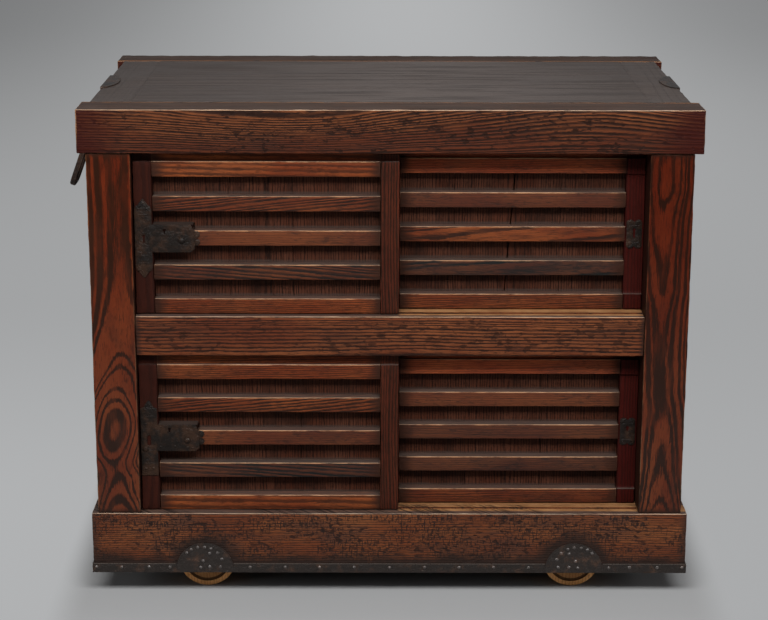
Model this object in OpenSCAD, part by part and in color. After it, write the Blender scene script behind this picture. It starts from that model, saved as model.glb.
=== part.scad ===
/* [Top frame] */
// Width over the ends of the top beams
top_w = 1120; // [1000:1:1300]
// Depth over the front and back top beams
top_d = 686; // [620:1:800]
// Height of the top beams and of the top side rails
beam_h = 80; // [60:1:100]
// Depth of a top beam from front to back
beam_d = 85; // [84:1:100]
// How far a top beam's end stands past the side of the chest
beam_end = 15; // [4:1:30]
// Width of a top side rail
side_rail_w = 75; // [60:1:90]
// Thickness of the top boards
top_board_t = 18; // [12:1:24]
// Number of top boards
top_boards_n = 3; // [2:1:5]
// Width of the ledges that carry the edges of the boards
ledge = 10; // [6:1:14]
// Width of the easing along the timbers' arrises
ease = 1.5; // [0.5:0.1:4]
// Width of the worn arris along the front of the top
worn = 3; // [1:0.1:6]

/* [Posts and middle rails] */
// Width of a corner post
post_w = 80; // [60:1:100]
// Depth of a corner post from front to back
post_d = 80; // [60:1:100]
// How far the posts stand back from the faces of the top beams
post_set = 4; // [0:0.5:12]
// Height of the front and back middle rails
mid_h = 75.5; // [60:0.5:95]
// Depth of the front and back middle rails
mid_d = 90; // [88:1:110]
// How far the middle rails stand back from the posts
mid_set = 2; // [0:0.5:6]
// Height of the middle rails at the sides
mid_side_h = 40; // [30:1:60]
// Thickness of the frame's tenons
tenon_t = 24; // [16:1:30]
// Length of the frame's tenons
tenon_l = 22; // [12:1:30]
// Shoulder left round each tenon
shoulder = 14; // [8:1:20]
// Clearance all round a tenon in its mortise
fit_gap = 0.2; // [0.1:0.05:0.5]

/* [Compartments] */
// Height of the lower door opening
low_open = 305; // [240:1:400]
// Height of the upper door opening
up_open = 301.5; // [240:0.5:400]
// Thickness of the shelf, floor, side and back boards
board_t = 12; // [8:1:16]
// Number of boards in the shelf and in the floor
shelf_boards_n = 4; // [2:1:6]
// Number of boards in each back panel
back_boards_n = 5; // [3:1:8]
// How far the side boards stand back from the side of the chest
side_board_set = 12; // [4:1:24]
// How far the back boards stand in from the back of the posts
back_board_set = 18; // [8:1:40]
// Seam between neighbouring boards
seam = 0.4; // [0.2:0.1:1]

/* [Base] */
// Height of the base above the floor
base_clear = 48; // [40:1:52]
// Height of the base beams
base_h = 118; // [100:1:150]
// Thickness of the base beams
base_t = 50; // [45:1:60]
// How far the base stands past the sides of the posts
base_side = 12; // [4:1:20]
// How far the base stands back from the faces of the top beams
base_set = 2; // [0:0.5:4]
// Thickness of the sill board behind the front base beam
sill_t = 30; // [24:1:40]

/* [Base ironwork] */
// Height of the iron band along the base's lower edge
band_h = 18; // [12:1:26]
// Thickness of the iron band and of the half-moon plates
iron_t = 1.5; // [1:0.1:3]
// Radius of a half-moon axle plate
moon_r = 54; // [46:1:60]
// Height of the half-moon's centre above the base's lower edge
moon_up = 5; // [0:1:12]
// Radius of a band nail's head
nail_r = 3.5; // [2.5:0.1:5]
// Pitch of the nails along the band
nail_pitch = 50; // [40:1:80]

/* [Wheels and axles] */
// Radius of a wheel
wheel_r = 54; // [50:1:56]
// Thickness of a wheel
wheel_t = 42; // [30:1:50]
// Distance of each axle in from the end of the base
axle_in = 210; // [150:1:260]
// Gap between a wheel's face and the base beam
wheel_gap = 3; // [2:0.5:8]
// Width of a wheel's raised rim
rim_w = 10; // [6:0.5:14]
// Depth of the turned groove inside the rim
rim_groove = 4; // [2:0.5:6]
// Width of the turned groove inside the rim
rim_groove_w = 6; // [3:0.5:10]
// How far the middle of a wheel's face lies behind its rim
dish = 1.5; // [0.5:0.5:4]
// Side of the axle between the wheels
axle_side = 44; // [36:1:50]
// Radius of the axle's journals
journal_r = 12; // [9:0.5:14]
// Length of a journal inside its base beam
journal_l = 30; // [20:1:36]
// Radius of the axle's round seat for a wheel
seat_r = 16; // [15:0.5:20]
// Running clearance of a journal in its notch
journal_gap = 0.3; // [0.2:0.05:0.8]
// Thickness of an axle keeper
keeper_t = 3; // [2:0.5:4]
// Width of an axle keeper from front to back
keeper_w = 22; // [14:1:26]
// Length of an axle keeper along the base beam
keeper_l = 68; // [60:1:80]
// Radius of the iron pin that locks a wheel on its axle
cross_pin_r = 3; // [2:0.5:4]
// How far such a pin stands out of the axle at each end
cross_pin_proud = 7; // [4:0.5:12]

/* [Doors] */
// Thickness of a door
door_t = 28; // [26:0.5:29]
// Width of a door stile
stile_w = 34; // [28:1:40]
// Height of a door rail
rail_h = 28.6; // [20:0.1:34]
// Number of rails in a door
rails_n = 5; // [5:2:7]
// How far the rails stand back from the stiles
rail_set = 2; // [1:0.5:4]
// Width of the easing along the rails' arrises
rail_ease = 0.7; // [0.3:0.1:2]
// Thickness of the boards behind the rails
panel_t = 5; // [4:0.5:7]
// Number of vertical boards behind the rails
panel_boards_n = 3; // [2:1:5]
// Overlap of the two doors of a pair
door_overlap = 33; // [28:1:40]
// Gap between a door and the post beside it
side_gap = 1.5; // [1:0.1:3]
// How far the front doors stand back from the posts
track_set = 13.5; // [11:0.5:16]
// Distance from the front track to the rear track
track_pitch = 37; // [36:0.5:38]
// Gap between a door and the sill under it
foot_gap = 1.5; // [1:0.1:3]
// Height of the gap over the upper doors
up_head_gap = 17; // [10:1:24]
// Height of the gap over the lower doors
low_head_gap = 20; // [10:1:24]
// Thickness of a door's tongue
tongue_t = 10; // [7:0.5:12]
// How far a door's tongue stands back from its stile face
tongue_set = 9; // [6:0.5:10]
// Length of the upper tongue inside its groove
head_in = 11; // [8:0.5:14]
// Length of the lower tongue inside its groove
foot_in = 3; // [2:0.25:4]
// Lift left over the upper tongue, so that a door can be taken out
head_lift = 4; // [3.5:0.25:6]
// Clearance under the lower tongue
foot_clear = 0.3; // [0.2:0.1:0.6]
// Clearance at each side of a tongue in its groove
groove_side = 0.75; // [0.4:0.05:1]
// Depth of the finger scoop in the right doors' outer stiles
scoop = 5; // [2:0.5:7]
// Radius of the coves at the ends of the finger scoop
cove_r = 9; // [8:1:16]

/* [Locks] */
// Width of the iron plate on a locking stile
lock_plate_w = 31; // [26:0.5:34]
// Height of the iron plate on a locking stile
lock_plate_h = 147; // [120:1:160]
// Thickness of the lock and key plates
plate_t = 1.5; // [1:0.1:2]
// Width of the lock box beside the stile
lock_box_w = 74; // [60:1:90]
// Height of the lock box
lock_box_h = 51.5; // [45:0.5:60]
// Width of the ear by which the box's plate lies on the rail
ear_w = 11; // [8:0.5:14]
// Radius of the lobes at the end of that ear
lobe_r = 8; // [5:0.5:10]
// Radius of the lock box's lower corner, away from the stile
box_corner = 9; // [4:0.5:11]
// Distance of the box's keyhole from the stile
box_keyhole_in = 22; // [14:1:30]
// Radius of the dome stud on the lock box
stud_r = 6; // [4:0.5:8]
// Height of the dome stud
stud_h = 4.5; // [2:0.5:6]
// Distance of the dome stud from the stile
stud_in = 52; // [40:1:54]
// How far the dome stud lies below the middle of the box
stud_down = 2; // [0:0.5:12]
// Radius of a keyhole's round end
keyhole_r = 2.6; // [2:0.1:4]
// Length of a keyhole
keyhole_l = 13; // [9:0.5:16]
// Radius of the worn slot in the lower lock plate
worn_slot_r = 3.6; // [2.5:0.1:5]
// Length of the worn slot in the lower lock plate
worn_slot_l = 22; // [16:1:30]
// Width of a right door's key plate
key_plate_w = 29; // [24:0.5:34]
// Height of a right door's key plate
key_plate_h = 54; // [44:1:64]
// Height of a lock bolt
bolt_h = 12; // [8:0.5:16]
// Thickness of a lock bolt
bolt_t = 5; // [4:0.5:8]
// Length of a left door's lock bolt
long_bolt_l = 66; // [50:1:80]
// Length of a right door's lock bolt
short_bolt_l = 18; // [14:1:20]
// Travel of a lock bolt into its post
bolt_throw = 10; // [6:0.5:14]
// Clearance round a bolt in its pocket
bolt_gap = 0.3; // [0.2:0.05:0.5]

/* [Carrying handles] */
// Place of the handles, in front of the middle of the chest
handle_fwd = 26; // [0:1:60]
// Length of a handle from its pivot to the outside of its grip
handle_l = 151; // [140:1:200]
// Thickness of the handle's bar
bar_t = 11; // [9:0.5:14]
// Distance between the middles of a handle's arms
arm_span = 58; // [52:1:80]
// Inner radius of the handle's corners
elbow_r = 8; // [5:1:14]
// Distance of the pivot outside the side of the chest
pivot_out = 18; // [17:0.5:30]
// Depth of the pivot below the top
pivot_down = 56; // [50:1:60]
// Radius of the handle's pivot pins
pivot_r = 5.5; // [4:0.5:6]
// Running clearance of a pivot pin in its knuckle
pivot_gap = 0.08; // [0.03:0.01:0.1]
// Gap between an arm and the knuckle beside it
arm_gap = 0.5; // [0.3:0.1:2]
// Width of a knuckle along the pivot
knuckle_w = 16; // [12:1:22]
// Radius of a knuckle round its bore
knuckle_r = 10; // [8:0.5:12]
// Radius of a handle's eyes round its pivot pins
eye_r = 8.7; // [7:0.1:11]
// Width of the plate behind the handle
handle_plate_w = 148; // [140:1:170]
// Height of the plate behind the handle
handle_plate_h = 72; // [50:1:78]
// Thickness of the plate behind the handle
handle_plate_t = 2; // [1.5:0.5:3]
// Length of the plate's fold over the top
plate_fold = 28; // [16:1:40]
// Angle at which the left handle stands out from hanging plumb
left_lean = 20; // [0:1:40]

/* [Hidden] */
$fn = 48;
e = 0.01;
side_x = top_w / 2 - beam_end;
in_x = side_x - post_w;
beam_f = top_d / 2;
post_f = beam_f - post_set;
mid_f = post_f - mid_set;
base_f = beam_f - base_set;
base_x = side_x + base_side;
z_base = base_clear + base_h;
z_mid = z_base + low_open;
z_shelf = z_mid + mid_h;
z_beam = z_shelf + up_open;
z_top = z_beam + beam_h;
top_in_y = beam_f - beam_d;
top_in_x = side_x - side_rail_w;
ledge_z = z_top - top_board_t;
post_in_y = post_f - post_d;
back_board_y = post_f - back_board_set - board_t;
side_board_x = side_x - side_board_set - board_t;
mid_side_x = in_x - ledge;
shelf_y0 = -mid_f + mid_d - ledge;
shelf_y1 = mid_f - mid_d + ledge;

door_w = in_x - side_gap + door_overlap / 2;
front_door_y = -post_f + track_set;
rear_door_y = front_door_y + track_pitch;
groove_w = tongue_t + 2 * groove_side;
head_groove = head_in + head_lift;
foot_groove = foot_in + foot_clear;
rail_t = door_t - rail_set - panel_t;
up_door_z = z_shelf + foot_gap;
up_door_h = up_open - foot_gap - up_head_gap;
low_door_z = z_base + foot_gap;
low_door_h = low_open - foot_gap - low_head_gap;
left_door_x = -in_x + side_gap;
right_door_x = in_x - side_gap - door_w;
bolt_set = door_t / 2 - 1;
post_mortise = bolt_throw + 4;

wheel_x = base_x - axle_in;
axle_z = wheel_r;
wheel_y = base_f - base_t - wheel_gap;
journal_end_y = base_f - base_t + journal_l;
cross_pin_l = axle_side + 2 * cross_pin_proud;

pivot_x = side_x + pivot_out;
pivot_z = z_top - pivot_down;
handle_y = -handle_fwd;
grip_drop = handle_l - bar_t / 2;
elbow_mid = elbow_r + bar_t / 2;
pin_reach = bar_t / 2 + arm_gap + knuckle_w + 3;

// Colours of the woods and the iron
lacquer = [0.36, 0.13, 0.07];
dark_lacquer = [0.22, 0.10, 0.07];
top_wood = [0.25, 0.22, 0.20];
plain_wood = [0.55, 0.42, 0.28];
wheel_wood = [0.58, 0.36, 0.18];
iron = [0.14, 0.12, 0.12];

// Building helpers: a box between two corners, and profiles extruded along each axis
module slab(lo, hi) {
    translate(lo) cube(hi - lo);
}

module along_x(x0, x1) {
    translate([x0, 0, 0]) rotate([90, 0, 90]) linear_extrude(x1 - x0) children();
}

module along_y(y0, y1) {
    translate([0, y1, 0]) rotate([90, 0, 0]) linear_extrude(y1 - y0) children();
}

module along_z(z0, z1) {
    translate([0, 0, z0]) linear_extrude(z1 - z0) children();
}

// Rectangle between two corners with its four corners eased
module eased_rect(lo, hi, c) {
    polygon([[lo.x + c, lo.y], [hi.x - c, lo.y], [hi.x, lo.y + c], [hi.x, hi.y - c],
        [hi.x - c, hi.y], [lo.x + c, hi.y], [lo.x, hi.y - c], [lo.x, lo.y + c]]);
}

// Mirrored to the left for s = -1, as drawn for s = 1
module on_side(s) {
    scale_x = s < 0 ? 1 : 0;
    mirror([scale_x, 0, 0]) children();
}

// Mirrored to the front for f = -1, as drawn at the back for f = 1
module on_end(f) {
    mirror([0, f < 0 ? 1 : 0, 0]) children();
}

// Tenons of the frame, drawn at the back right corner; g is the clearance of the mortise
module post_tenon(z0, z1, g = 0) {
    slab([in_x + shoulder - g, post_f - shoulder - tenon_t - g, z0 - g],
        [side_x - shoulder + g, post_f - shoulder + g, z1 + g]);
}

module mid_tenon(g = 0) {
    slab([in_x - e - g, mid_f - 2 * shoulder - tenon_t - g, z_mid + shoulder - g],
        [in_x + tenon_l + g, mid_f - 2 * shoulder + g, z_shelf - shoulder + g]);
}

module side_rail_tenon(g = 0) {
    slab([side_x - shoulder - tenon_t - g, top_in_y - e - g, z_beam + shoulder - g],
        [side_x - shoulder + g, top_in_y + tenon_l + g, ledge_z - shoulder / 2 + g]);
}

module base_tenon(g = 0) {
    slab([base_x - base_t / 2 - tenon_t / 2 - g, base_f - base_t - e - g, base_clear + 2 * shoulder - g],
        [base_x - base_t / 2 + tenon_t / 2 + g, base_f - base_t + tenon_l + g, z_base - 2 * shoulder + g]);
}

// Groove for one door's tongue; y is the door's stile face
module door_groove(y, z0, z1) {
    slab([-in_x, y + tongue_set - groove_side, z0],
        [in_x, y + tongue_set + tongue_t + groove_side, z1]);
}

// Pocket in a post for a lock bolt
module bolt_mortise(y, z) {
    slab([in_x - e, y + bolt_set - bolt_t / 2 - 1, z - bolt_h / 2 - 1],
        [in_x + post_mortise, y + bolt_set + bolt_t / 2 + 1, z + bolt_h / 2 + 1]);
}

// Top frame
module top_beam(f) {
    on_end(f) {
        along_x(-top_w / 2, top_w / 2) polygon([
            [top_in_y, z_beam + ease], [top_in_y + ease, z_beam],
            [beam_f - ease, z_beam], [beam_f, z_beam + ease],
            [beam_f, z_top - worn], [beam_f - worn, z_top],
            [top_in_y, z_top]]);
        slab([-top_in_x + ledge, top_in_y - ledge, z_beam], [top_in_x - ledge, top_in_y + ease, ledge_z]);
    }
}

module top_front_beam() {
    color(lacquer) difference() {
        top_beam(-1);
        for (s = [-1, 1]) on_side(s) on_end(-1) {
            post_tenon(z_beam - 1, z_beam + tenon_l, fit_gap);
            side_rail_tenon(fit_gap);
        }
        door_groove(front_door_y, z_beam - 1, z_beam + head_groove);
        door_groove(rear_door_y, z_beam - 1, z_beam + head_groove);
    }
}

module top_back_beam() {
    color(lacquer) difference() {
        top_beam(1);
        for (s = [-1, 1]) on_side(s) {
            post_tenon(z_beam - 1, z_beam + tenon_l, fit_gap);
            side_rail_tenon(fit_gap);
        }
    }
}

module top_side_rails() {
    color(lacquer) for (s = [-1, 1]) on_side(s) {
        along_y(-top_in_y, top_in_y) polygon([
            [top_in_x - ledge, z_beam], [side_x - ease, z_beam], [side_x, z_beam + ease],
            [side_x, z_top - worn], [side_x - worn, z_top],
            [top_in_x, z_top], [top_in_x, ledge_z], [top_in_x - ledge, ledge_z]]);
        for (f = [-1, 1]) on_end(f) side_rail_tenon();
    }
}

module top_boards() {
    w = 2 * top_in_y / top_boards_n;
    color(top_wood) for (i = [0 : top_boards_n - 1])
        slab([-top_in_x, -top_in_y + i * w + (i > 0 ? seam : 0), ledge_z],
            [top_in_x, -top_in_y + (i + 1) * w, z_top]);
}

// Corner posts; the front ones hold the mortises of the lock bolts
module corner_post(s, f) {
    color(lacquer) difference() {
        on_side(s) on_end(f) {
            along_z(z_base, z_beam)
                eased_rect([in_x, post_in_y], [side_x, post_f], ease);
            post_tenon(z_beam - 1, z_beam + tenon_l);
            post_tenon(z_base - tenon_l, z_base + 1);
        }
        on_side(s) on_end(f) mid_tenon(fit_gap);
        if (f < 0) on_side(s) {
            y = s < 0 ? front_door_y : rear_door_y;
            bolt_mortise(y, up_door_z + up_door_h / 2);
            bolt_mortise(y, low_door_z + low_door_h / 2);
        }
    }
}

module post_front_left() { corner_post(-1, -1); }
module post_front_right() { corner_post(1, -1); }
module post_back_left() { corner_post(-1, 1); }
module post_back_right() { corner_post(1, 1); }

// Middle rails, each with a ledge for the shelf
module mid_rail(f) {
    on_end(f) {
        along_x(-in_x, in_x) polygon([
            [mid_f - mid_d, z_mid], [mid_f - ease, z_mid], [mid_f, z_mid + ease],
            [mid_f, z_shelf - ease], [mid_f - ease, z_shelf],
            [mid_f - mid_d + ledge, z_shelf], [mid_f - mid_d + ledge, z_shelf - board_t],
            [mid_f - mid_d, z_shelf - board_t]]);
        for (s = [-1, 1]) on_side(s) mid_tenon();
    }
}

module mid_rail_front() {
    color(lacquer) difference() {
        mid_rail(-1);
        for (y = [front_door_y, rear_door_y]) {
            door_groove(y, z_shelf - foot_groove, z_shelf + 1);
            door_groove(y, z_mid - 1, z_mid + head_groove);
        }
    }
}

module mid_rail_back() {
    color(lacquer) mid_rail(1);
}

module mid_side_rails() {
    mid_in_y = mid_f - mid_d;
    color(dark_lacquer) for (s = [-1, 1]) on_side(s) {
        along_y(-post_in_y, post_in_y) polygon([
            [in_x, z_shelf - mid_side_h], [side_x - ease, z_shelf - mid_side_h],
            [side_x, z_shelf - mid_side_h + ease], [side_x, z_shelf - ease], [side_x - ease, z_shelf],
            [in_x, z_shelf]]);
        // Ledge for the ends of the shelf boards, between the front and back rails
        slab([mid_side_x, -mid_in_y, z_shelf - mid_side_h], [in_x + ease, mid_in_y, z_shelf - board_t]);
    }
}

module shelf_boards() {
    w = (shelf_y1 - shelf_y0) / shelf_boards_n;
    color(plain_wood) for (i = [0 : shelf_boards_n - 1])
        slab([-in_x, shelf_y0 + i * w + (i > 0 ? seam : 0), z_shelf - board_t],
            [in_x, shelf_y0 + (i + 1) * w, z_shelf]);
}

// Boards that close the sides and the back
module side_boards() {
    color(dark_lacquer) for (s = [-1, 1]) on_side(s) {
        slab([side_board_x, -post_in_y, z_base], [side_board_x + board_t, post_in_y, z_shelf - mid_side_h]);
        slab([side_board_x, -post_in_y, z_shelf], [side_board_x + board_t, post_in_y, z_beam]);
    }
}

module back_boards() {
    w = 2 * in_x / back_boards_n;
    color(plain_wood) for (i = [0 : back_boards_n - 1]) {
        x0 = -in_x + i * w + (i > 0 ? seam : 0);
        slab([x0, back_board_y, z_base], [-in_x + (i + 1) * w, back_board_y + board_t, z_mid]);
        slab([x0, back_board_y, z_shelf], [-in_x + (i + 1) * w, back_board_y + board_t, z_beam]);
    }
}

// Base frame
module base_beam(f) {
    difference() {
        on_end(f) along_x(-base_x, base_x)
            eased_rect([base_f - base_t, base_clear], [base_f, z_base], ease);
        for (s = [-1, 1]) on_side(s) on_end(f) {
            post_tenon(z_base - tenon_l, z_base + 1, fit_gap);
            base_tenon(fit_gap);
            // Notch for the axle's journal, open downwards
            translate([wheel_x, 0, 0]) {
                translate([0, base_f - base_t - 1, axle_z]) rotate([-90, 0, 0])
                    cylinder(r = journal_r + journal_gap, h = journal_l + 2);
                slab([-journal_r - journal_gap, base_f - base_t - 1, base_clear - 1],
                    [journal_r + journal_gap, base_f - base_t + journal_l + 1, axle_z]);
            }
        }
    }
}

module base_front_beam() {
    color(lacquer) difference() {
        base_beam(-1);
        door_groove(front_door_y, z_base - foot_groove, z_base + 1);
    }
}

module base_back_beam() {
    color(lacquer) difference() {
        base_beam(1);
        slab([-base_x + base_t - ledge, base_f - base_t - 1, z_base - board_t],
            [base_x - base_t + ledge, base_f - base_t + ledge, z_base + 1]);
    }
}

module base_end_beams() {
    color(lacquer) for (s = [-1, 1]) on_side(s) {
        difference() {
            along_y(-base_f + base_t, base_f - base_t)
                eased_rect([base_x - base_t, base_clear], [base_x, z_base], ease);
            slab([base_x - base_t - 1, shelf_y0, z_base - board_t],
                [base_x - base_t + ledge, base_f - base_t + 1, z_base + 1]);
            for (f = [-1, 1]) on_end(f) post_tenon(z_base - tenon_l, z_base + 1, fit_gap);
        }
        for (f = [-1, 1]) on_end(f) base_tenon();
    }
}

module door_sill() {
    color(lacquer) difference() {
        along_x(-base_x + base_t, base_x - base_t) polygon([
            [-base_f + base_t, z_base - sill_t], [shelf_y0 + ledge, z_base - sill_t],
            [shelf_y0 + ledge, z_base - board_t], [shelf_y0, z_base - board_t],
            [shelf_y0, z_base], [-base_f + base_t, z_base]]);
        door_groove(rear_door_y, z_base - foot_groove, z_base + 1);
        for (s = [-1, 1]) on_side(s) on_end(-1) post_tenon(z_base - tenon_l, z_base + 1, fit_gap);
    }
}

module floor_boards() {
    y1 = base_f - base_t + ledge;
    x1 = base_x - base_t + ledge;
    w = (y1 - shelf_y0) / shelf_boards_n;
    color(plain_wood) for (i = [0 : shelf_boards_n - 1])
        slab([-x1, shelf_y0 + i * w + (i > 0 ? seam : 0), z_base - board_t],
            [x1, shelf_y0 + (i + 1) * w, z_base]);
}

// Ironwork of the base
module moon_outline() {
    intersection() {
        translate([wheel_x, base_clear + moon_up]) circle(r = moon_r, $fn = 96);
        translate([wheel_x - 2 * moon_r, base_clear]) square([4 * moon_r, 2 * moon_r]);
    }
}

module base_band() {
    color(iron) difference() {
        along_z(base_clear, base_clear + band_h) difference() {
            square([2 * (base_x + iron_t), 2 * (base_f + iron_t)], center = true);
            square([2 * base_x, 2 * base_f], center = true);
        }
        for (s = [-1, 1], f = [-1, 1]) on_side(s) on_end(f)
            slab([wheel_x - moon_r, base_f - 1, base_clear - 1],
                [wheel_x + moon_r, base_f + iron_t + 1, base_clear + band_h + 1]);
    }
}

module axle_plates() {
    color(iron) for (s = [-1, 1], f = [-1, 1]) on_side(s) on_end(f)
        along_y(base_f, base_f + iron_t) moon_outline();
}

// Dome head of a nail that stands on a face at y = 0 and points to +Y
module dome(r, h) {
    rotate([-90, 0, 0]) rotate_extrude() intersection() {
        ball = (r * r + h * h) / (2 * h);
        translate([0, h - ball]) circle(r = ball, $fn = 64);
        square([r, h]);
    }
}

module band_nails() {
    half = base_x - nail_pitch / 4;
    count = floor(2 * half / nail_pitch);
    color(iron) for (f = [-1, 1]) on_end(f) {
        for (i = [0 : count]) {
            x = -half + i * 2 * half / count;
            if (abs(abs(x) - wheel_x) > moon_r + nail_r)
                translate([x, base_f + iron_t, base_clear + band_h / 2]) dome(nail_r, nail_r / 2);
        }
        for (s = [-1, 1], a = [30 : 24 : 150])
            translate([s * wheel_x + (moon_r - 3 * nail_r) * cos(a), base_f + iron_t,
                base_clear + moon_up + (moon_r - 3 * nail_r) * sin(a)]) dome(nail_r, nail_r / 2);
    }
}

module axle_keepers() {
    z1 = axle_z - journal_r - journal_gap;
    y1 = base_f - base_t + keeper_w + 2;
    color(iron) for (s = [-1, 1], f = [-1, 1]) on_side(s) on_end(f) translate([wheel_x, 0, 0])
        difference() {
            slab([-keeper_l / 2, y1 - keeper_w, z1 - keeper_t], [keeper_l / 2, y1, base_clear]);
            slab([-journal_r - journal_gap, y1 - keeper_w - 1, z1],
                [journal_r + journal_gap, y1 + 1, base_clear + 1]);
        }
}

// Wheelsets
module axle(s) {
    wheel_in = wheel_y - wheel_t;
    color(plain_wood) translate([s * wheel_x, 0, 0]) difference() {
        union() {
            along_y(-wheel_in, wheel_in) translate([0, axle_z])
                eased_rect([-axle_side / 2, -axle_side / 2], [axle_side / 2, axle_side / 2], 3 * ease);
            for (f = [-1, 1]) on_end(f) translate([0, 0, axle_z]) rotate([-90, 0, 0]) {
                translate([0, 0, wheel_in - 1]) cylinder(r = seat_r, h = wheel_t + 1);
                translate([0, 0, wheel_in]) cylinder(r = journal_r, h = journal_end_y - wheel_in);
            }
        }
        for (f = [-1, 1]) on_end(f) translate([0, wheel_in - 4 * cross_pin_r, axle_z - axle_side])
            cylinder(r = cross_pin_r, h = 2 * axle_side);
    }
}

module axle_left() { axle(-1); }
module axle_right() { axle(1); }

// Turned wheel: raised rim, groove and slightly dished middle on both faces
module wheel(s, f) {
    c = 2 * ease;
    r1 = wheel_r - rim_w;
    r2 = r1 - rim_groove_w;
    half = wheel_t / 2;
    right_half = [[seat_r + fit_gap, half - dish], [r2 - 2, half - dish], [r2, half - rim_groove],
        [r1 - 1, half - rim_groove], [r1, half], [wheel_r - c, half], [wheel_r, half - c]];
    count = len(right_half);
    outline = [for (i = [0 : 2 * count - 1])
        i < count ? right_half[i] : [right_half[2 * count - 1 - i].x, -right_half[2 * count - 1 - i].y]];
    color(wheel_wood) on_side(s) on_end(f) translate([wheel_x, wheel_y - half, axle_z])
        rotate([-90, 0, 0]) rotate_extrude($fn = 96) polygon(outline);
}

module wheel_front_left() { wheel(-1, -1); }
module wheel_back_left() { wheel(-1, 1); }
module wheel_front_right() { wheel(1, -1); }
module wheel_back_right() { wheel(1, 1); }

module axle_pins(s) {
    color(iron) for (f = [-1, 1]) on_side(s) on_end(f)
        translate([wheel_x, wheel_y - wheel_t - 4 * cross_pin_r, axle_z - cross_pin_l / 2])
            cylinder(r = cross_pin_r, h = cross_pin_l);
}

module axle_pins_left() { axle_pins(-1); }
module axle_pins_right() { axle_pins(1); }

// Carrying handles; drawn on the right side, hanging plumb
module handle_plate(s) {
    x0 = side_x;
    x1 = side_x + handle_plate_t;
    knuckle_y = arm_span / 2 + bar_t / 2 + arm_gap;
    color(iron) on_side(s) translate([0, handle_y, 0]) {
        slab([x0, -handle_plate_w / 2, z_top - handle_plate_h], [x1, handle_plate_w / 2, z_top]);
        // Half-oval fold over the top
        translate([x1, 0, z_top]) linear_extrude(handle_plate_t) intersection() {
            scale([plate_fold, handle_plate_w / 2]) circle(r = 1);
            translate([-plate_fold, -handle_plate_w / 2]) square([plate_fold, handle_plate_w]);
        }
        for (f = [-1, 1]) on_end(f) difference() {
            along_y(knuckle_y, knuckle_y + knuckle_w) union() {
                translate([pivot_x, pivot_z]) circle(r = knuckle_r);
                translate([x1 - e, pivot_z - knuckle_r]) square([pivot_x - x1, 2 * knuckle_r]);
            }
            translate([pivot_x, knuckle_y - 1, pivot_z]) rotate([-90, 0, 0])
                cylinder(r = pivot_r + pivot_gap, h = knuckle_w + 2);
        }
    }
}

module handle_plate_left() { handle_plate(-1); }
module handle_plate_right() { handle_plate(1); }

module bar_section() {
    eased_rect([-bar_t / 2, -bar_t / 2], [bar_t / 2, bar_t / 2], bar_t / 6);
}

module carrying_handle() {
    half = arm_span / 2;
    for (f = [-1, 1]) on_end(f) {
        translate([0, half, -grip_drop + elbow_mid]) linear_extrude(grip_drop - elbow_mid) bar_section();
        translate([0, half - elbow_mid, -grip_drop + elbow_mid]) rotate([90, 0, 90])
            rotate([0, 0, -90]) rotate_extrude(angle = 90) translate([elbow_mid, 0]) bar_section();
        translate([0, half - bar_t / 2, 0]) rotate([-90, 0, 0]) cylinder(r = eye_r, h = bar_t);
        translate([0, half, 0]) rotate([-90, 0, 0]) cylinder(r = pivot_r, h = pin_reach);
    }
    translate([0, half - elbow_mid, -grip_drop]) rotate([90, 0, 0])
        linear_extrude(2 * (half - elbow_mid)) bar_section();
}

module handle_left() {
    color(iron) translate([-pivot_x, handle_y, pivot_z]) rotate([0, left_lean, 0]) carrying_handle();
}

module handle_right() {
    color(iron) translate([pivot_x, handle_y, pivot_z]) carrying_handle();
}

// Doors. A door is drawn with its outer stile's edge at x = 0 and its stile face at y = 0,
// from its foot at z = 0 up to h; head is the gap over it.
module door_at(s, z) {
    on_side(s) translate([in_x - side_gap, 0, 0]) mirror([1, 0, 0])
        translate([0, s < 0 ? front_door_y : rear_door_y, z]) children();
}

module head_tongue(x0, x1, h, head) {
    slab([x0, tongue_set, h - 1], [x1, tongue_set + tongue_t, h + head + head_in]);
}

module foot_tongue(x0, x1) {
    slab([x0, tongue_set, -foot_gap - foot_in], [x1, tongue_set + tongue_t, 1]);
}

// Shallow hollow between the top and bottom rails, coved at both ends
module finger_scoop(h) {
    z0 = rail_h;
    z1 = h - rail_h;
    arc = [for (i = [0 : 6]) [scoop * sin(15 * i), cove_r * (1 - cos(15 * i))]];
    along_x(-1, stile_w + 1) polygon(concat([[-1, z0]],
        [for (p = arc) [p.x, z0 + p.y]],
        [for (i = [6 : -1 : 0]) [arc[i].x, z1 - arc[i].y]],
        [[-1, z1]]));
}

module door_stiles(s, z, h, head) {
    color(dark_lacquer) door_at(s, z) difference() {
        for (x = [0, door_w - stile_w]) {
            slab([x, 0, 0], [x + stile_w, door_t, h]);
            head_tongue(x, x + stile_w, h, head);
            foot_tongue(x, x + stile_w);
        }
        // Slot for the lock bolt through the outer stile
        slab([-1, bolt_set - bolt_t / 2 - bolt_gap, h / 2 - bolt_h / 2 - bolt_gap],
            [s < 0 ? stile_w + 1 : short_bolt_l + bolt_throw,
                bolt_set + bolt_t / 2 + bolt_gap, h / 2 + bolt_h / 2 + bolt_gap]);
        if (s > 0) finger_scoop(h);
    }
}

module door_rails(s, z, h, head) {
    pitch = (h - rail_h) / (rails_n - 1);
    middle = (rails_n - 1) / 2;
    color(lacquer) door_at(s, z) for (i = [0 : rails_n - 1]) {
        x0 = s < 0 && i == middle ? stile_w + lock_box_w : stile_w;
        along_x(x0, door_w - stile_w)
            eased_rect([rail_set, i * pitch], [rail_set + rail_t, i * pitch + rail_h], rail_ease);
        if (i == rails_n - 1) head_tongue(stile_w, door_w - stile_w, h, head);
        if (i == 0) foot_tongue(stile_w, door_w - stile_w);
    }
}

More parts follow.
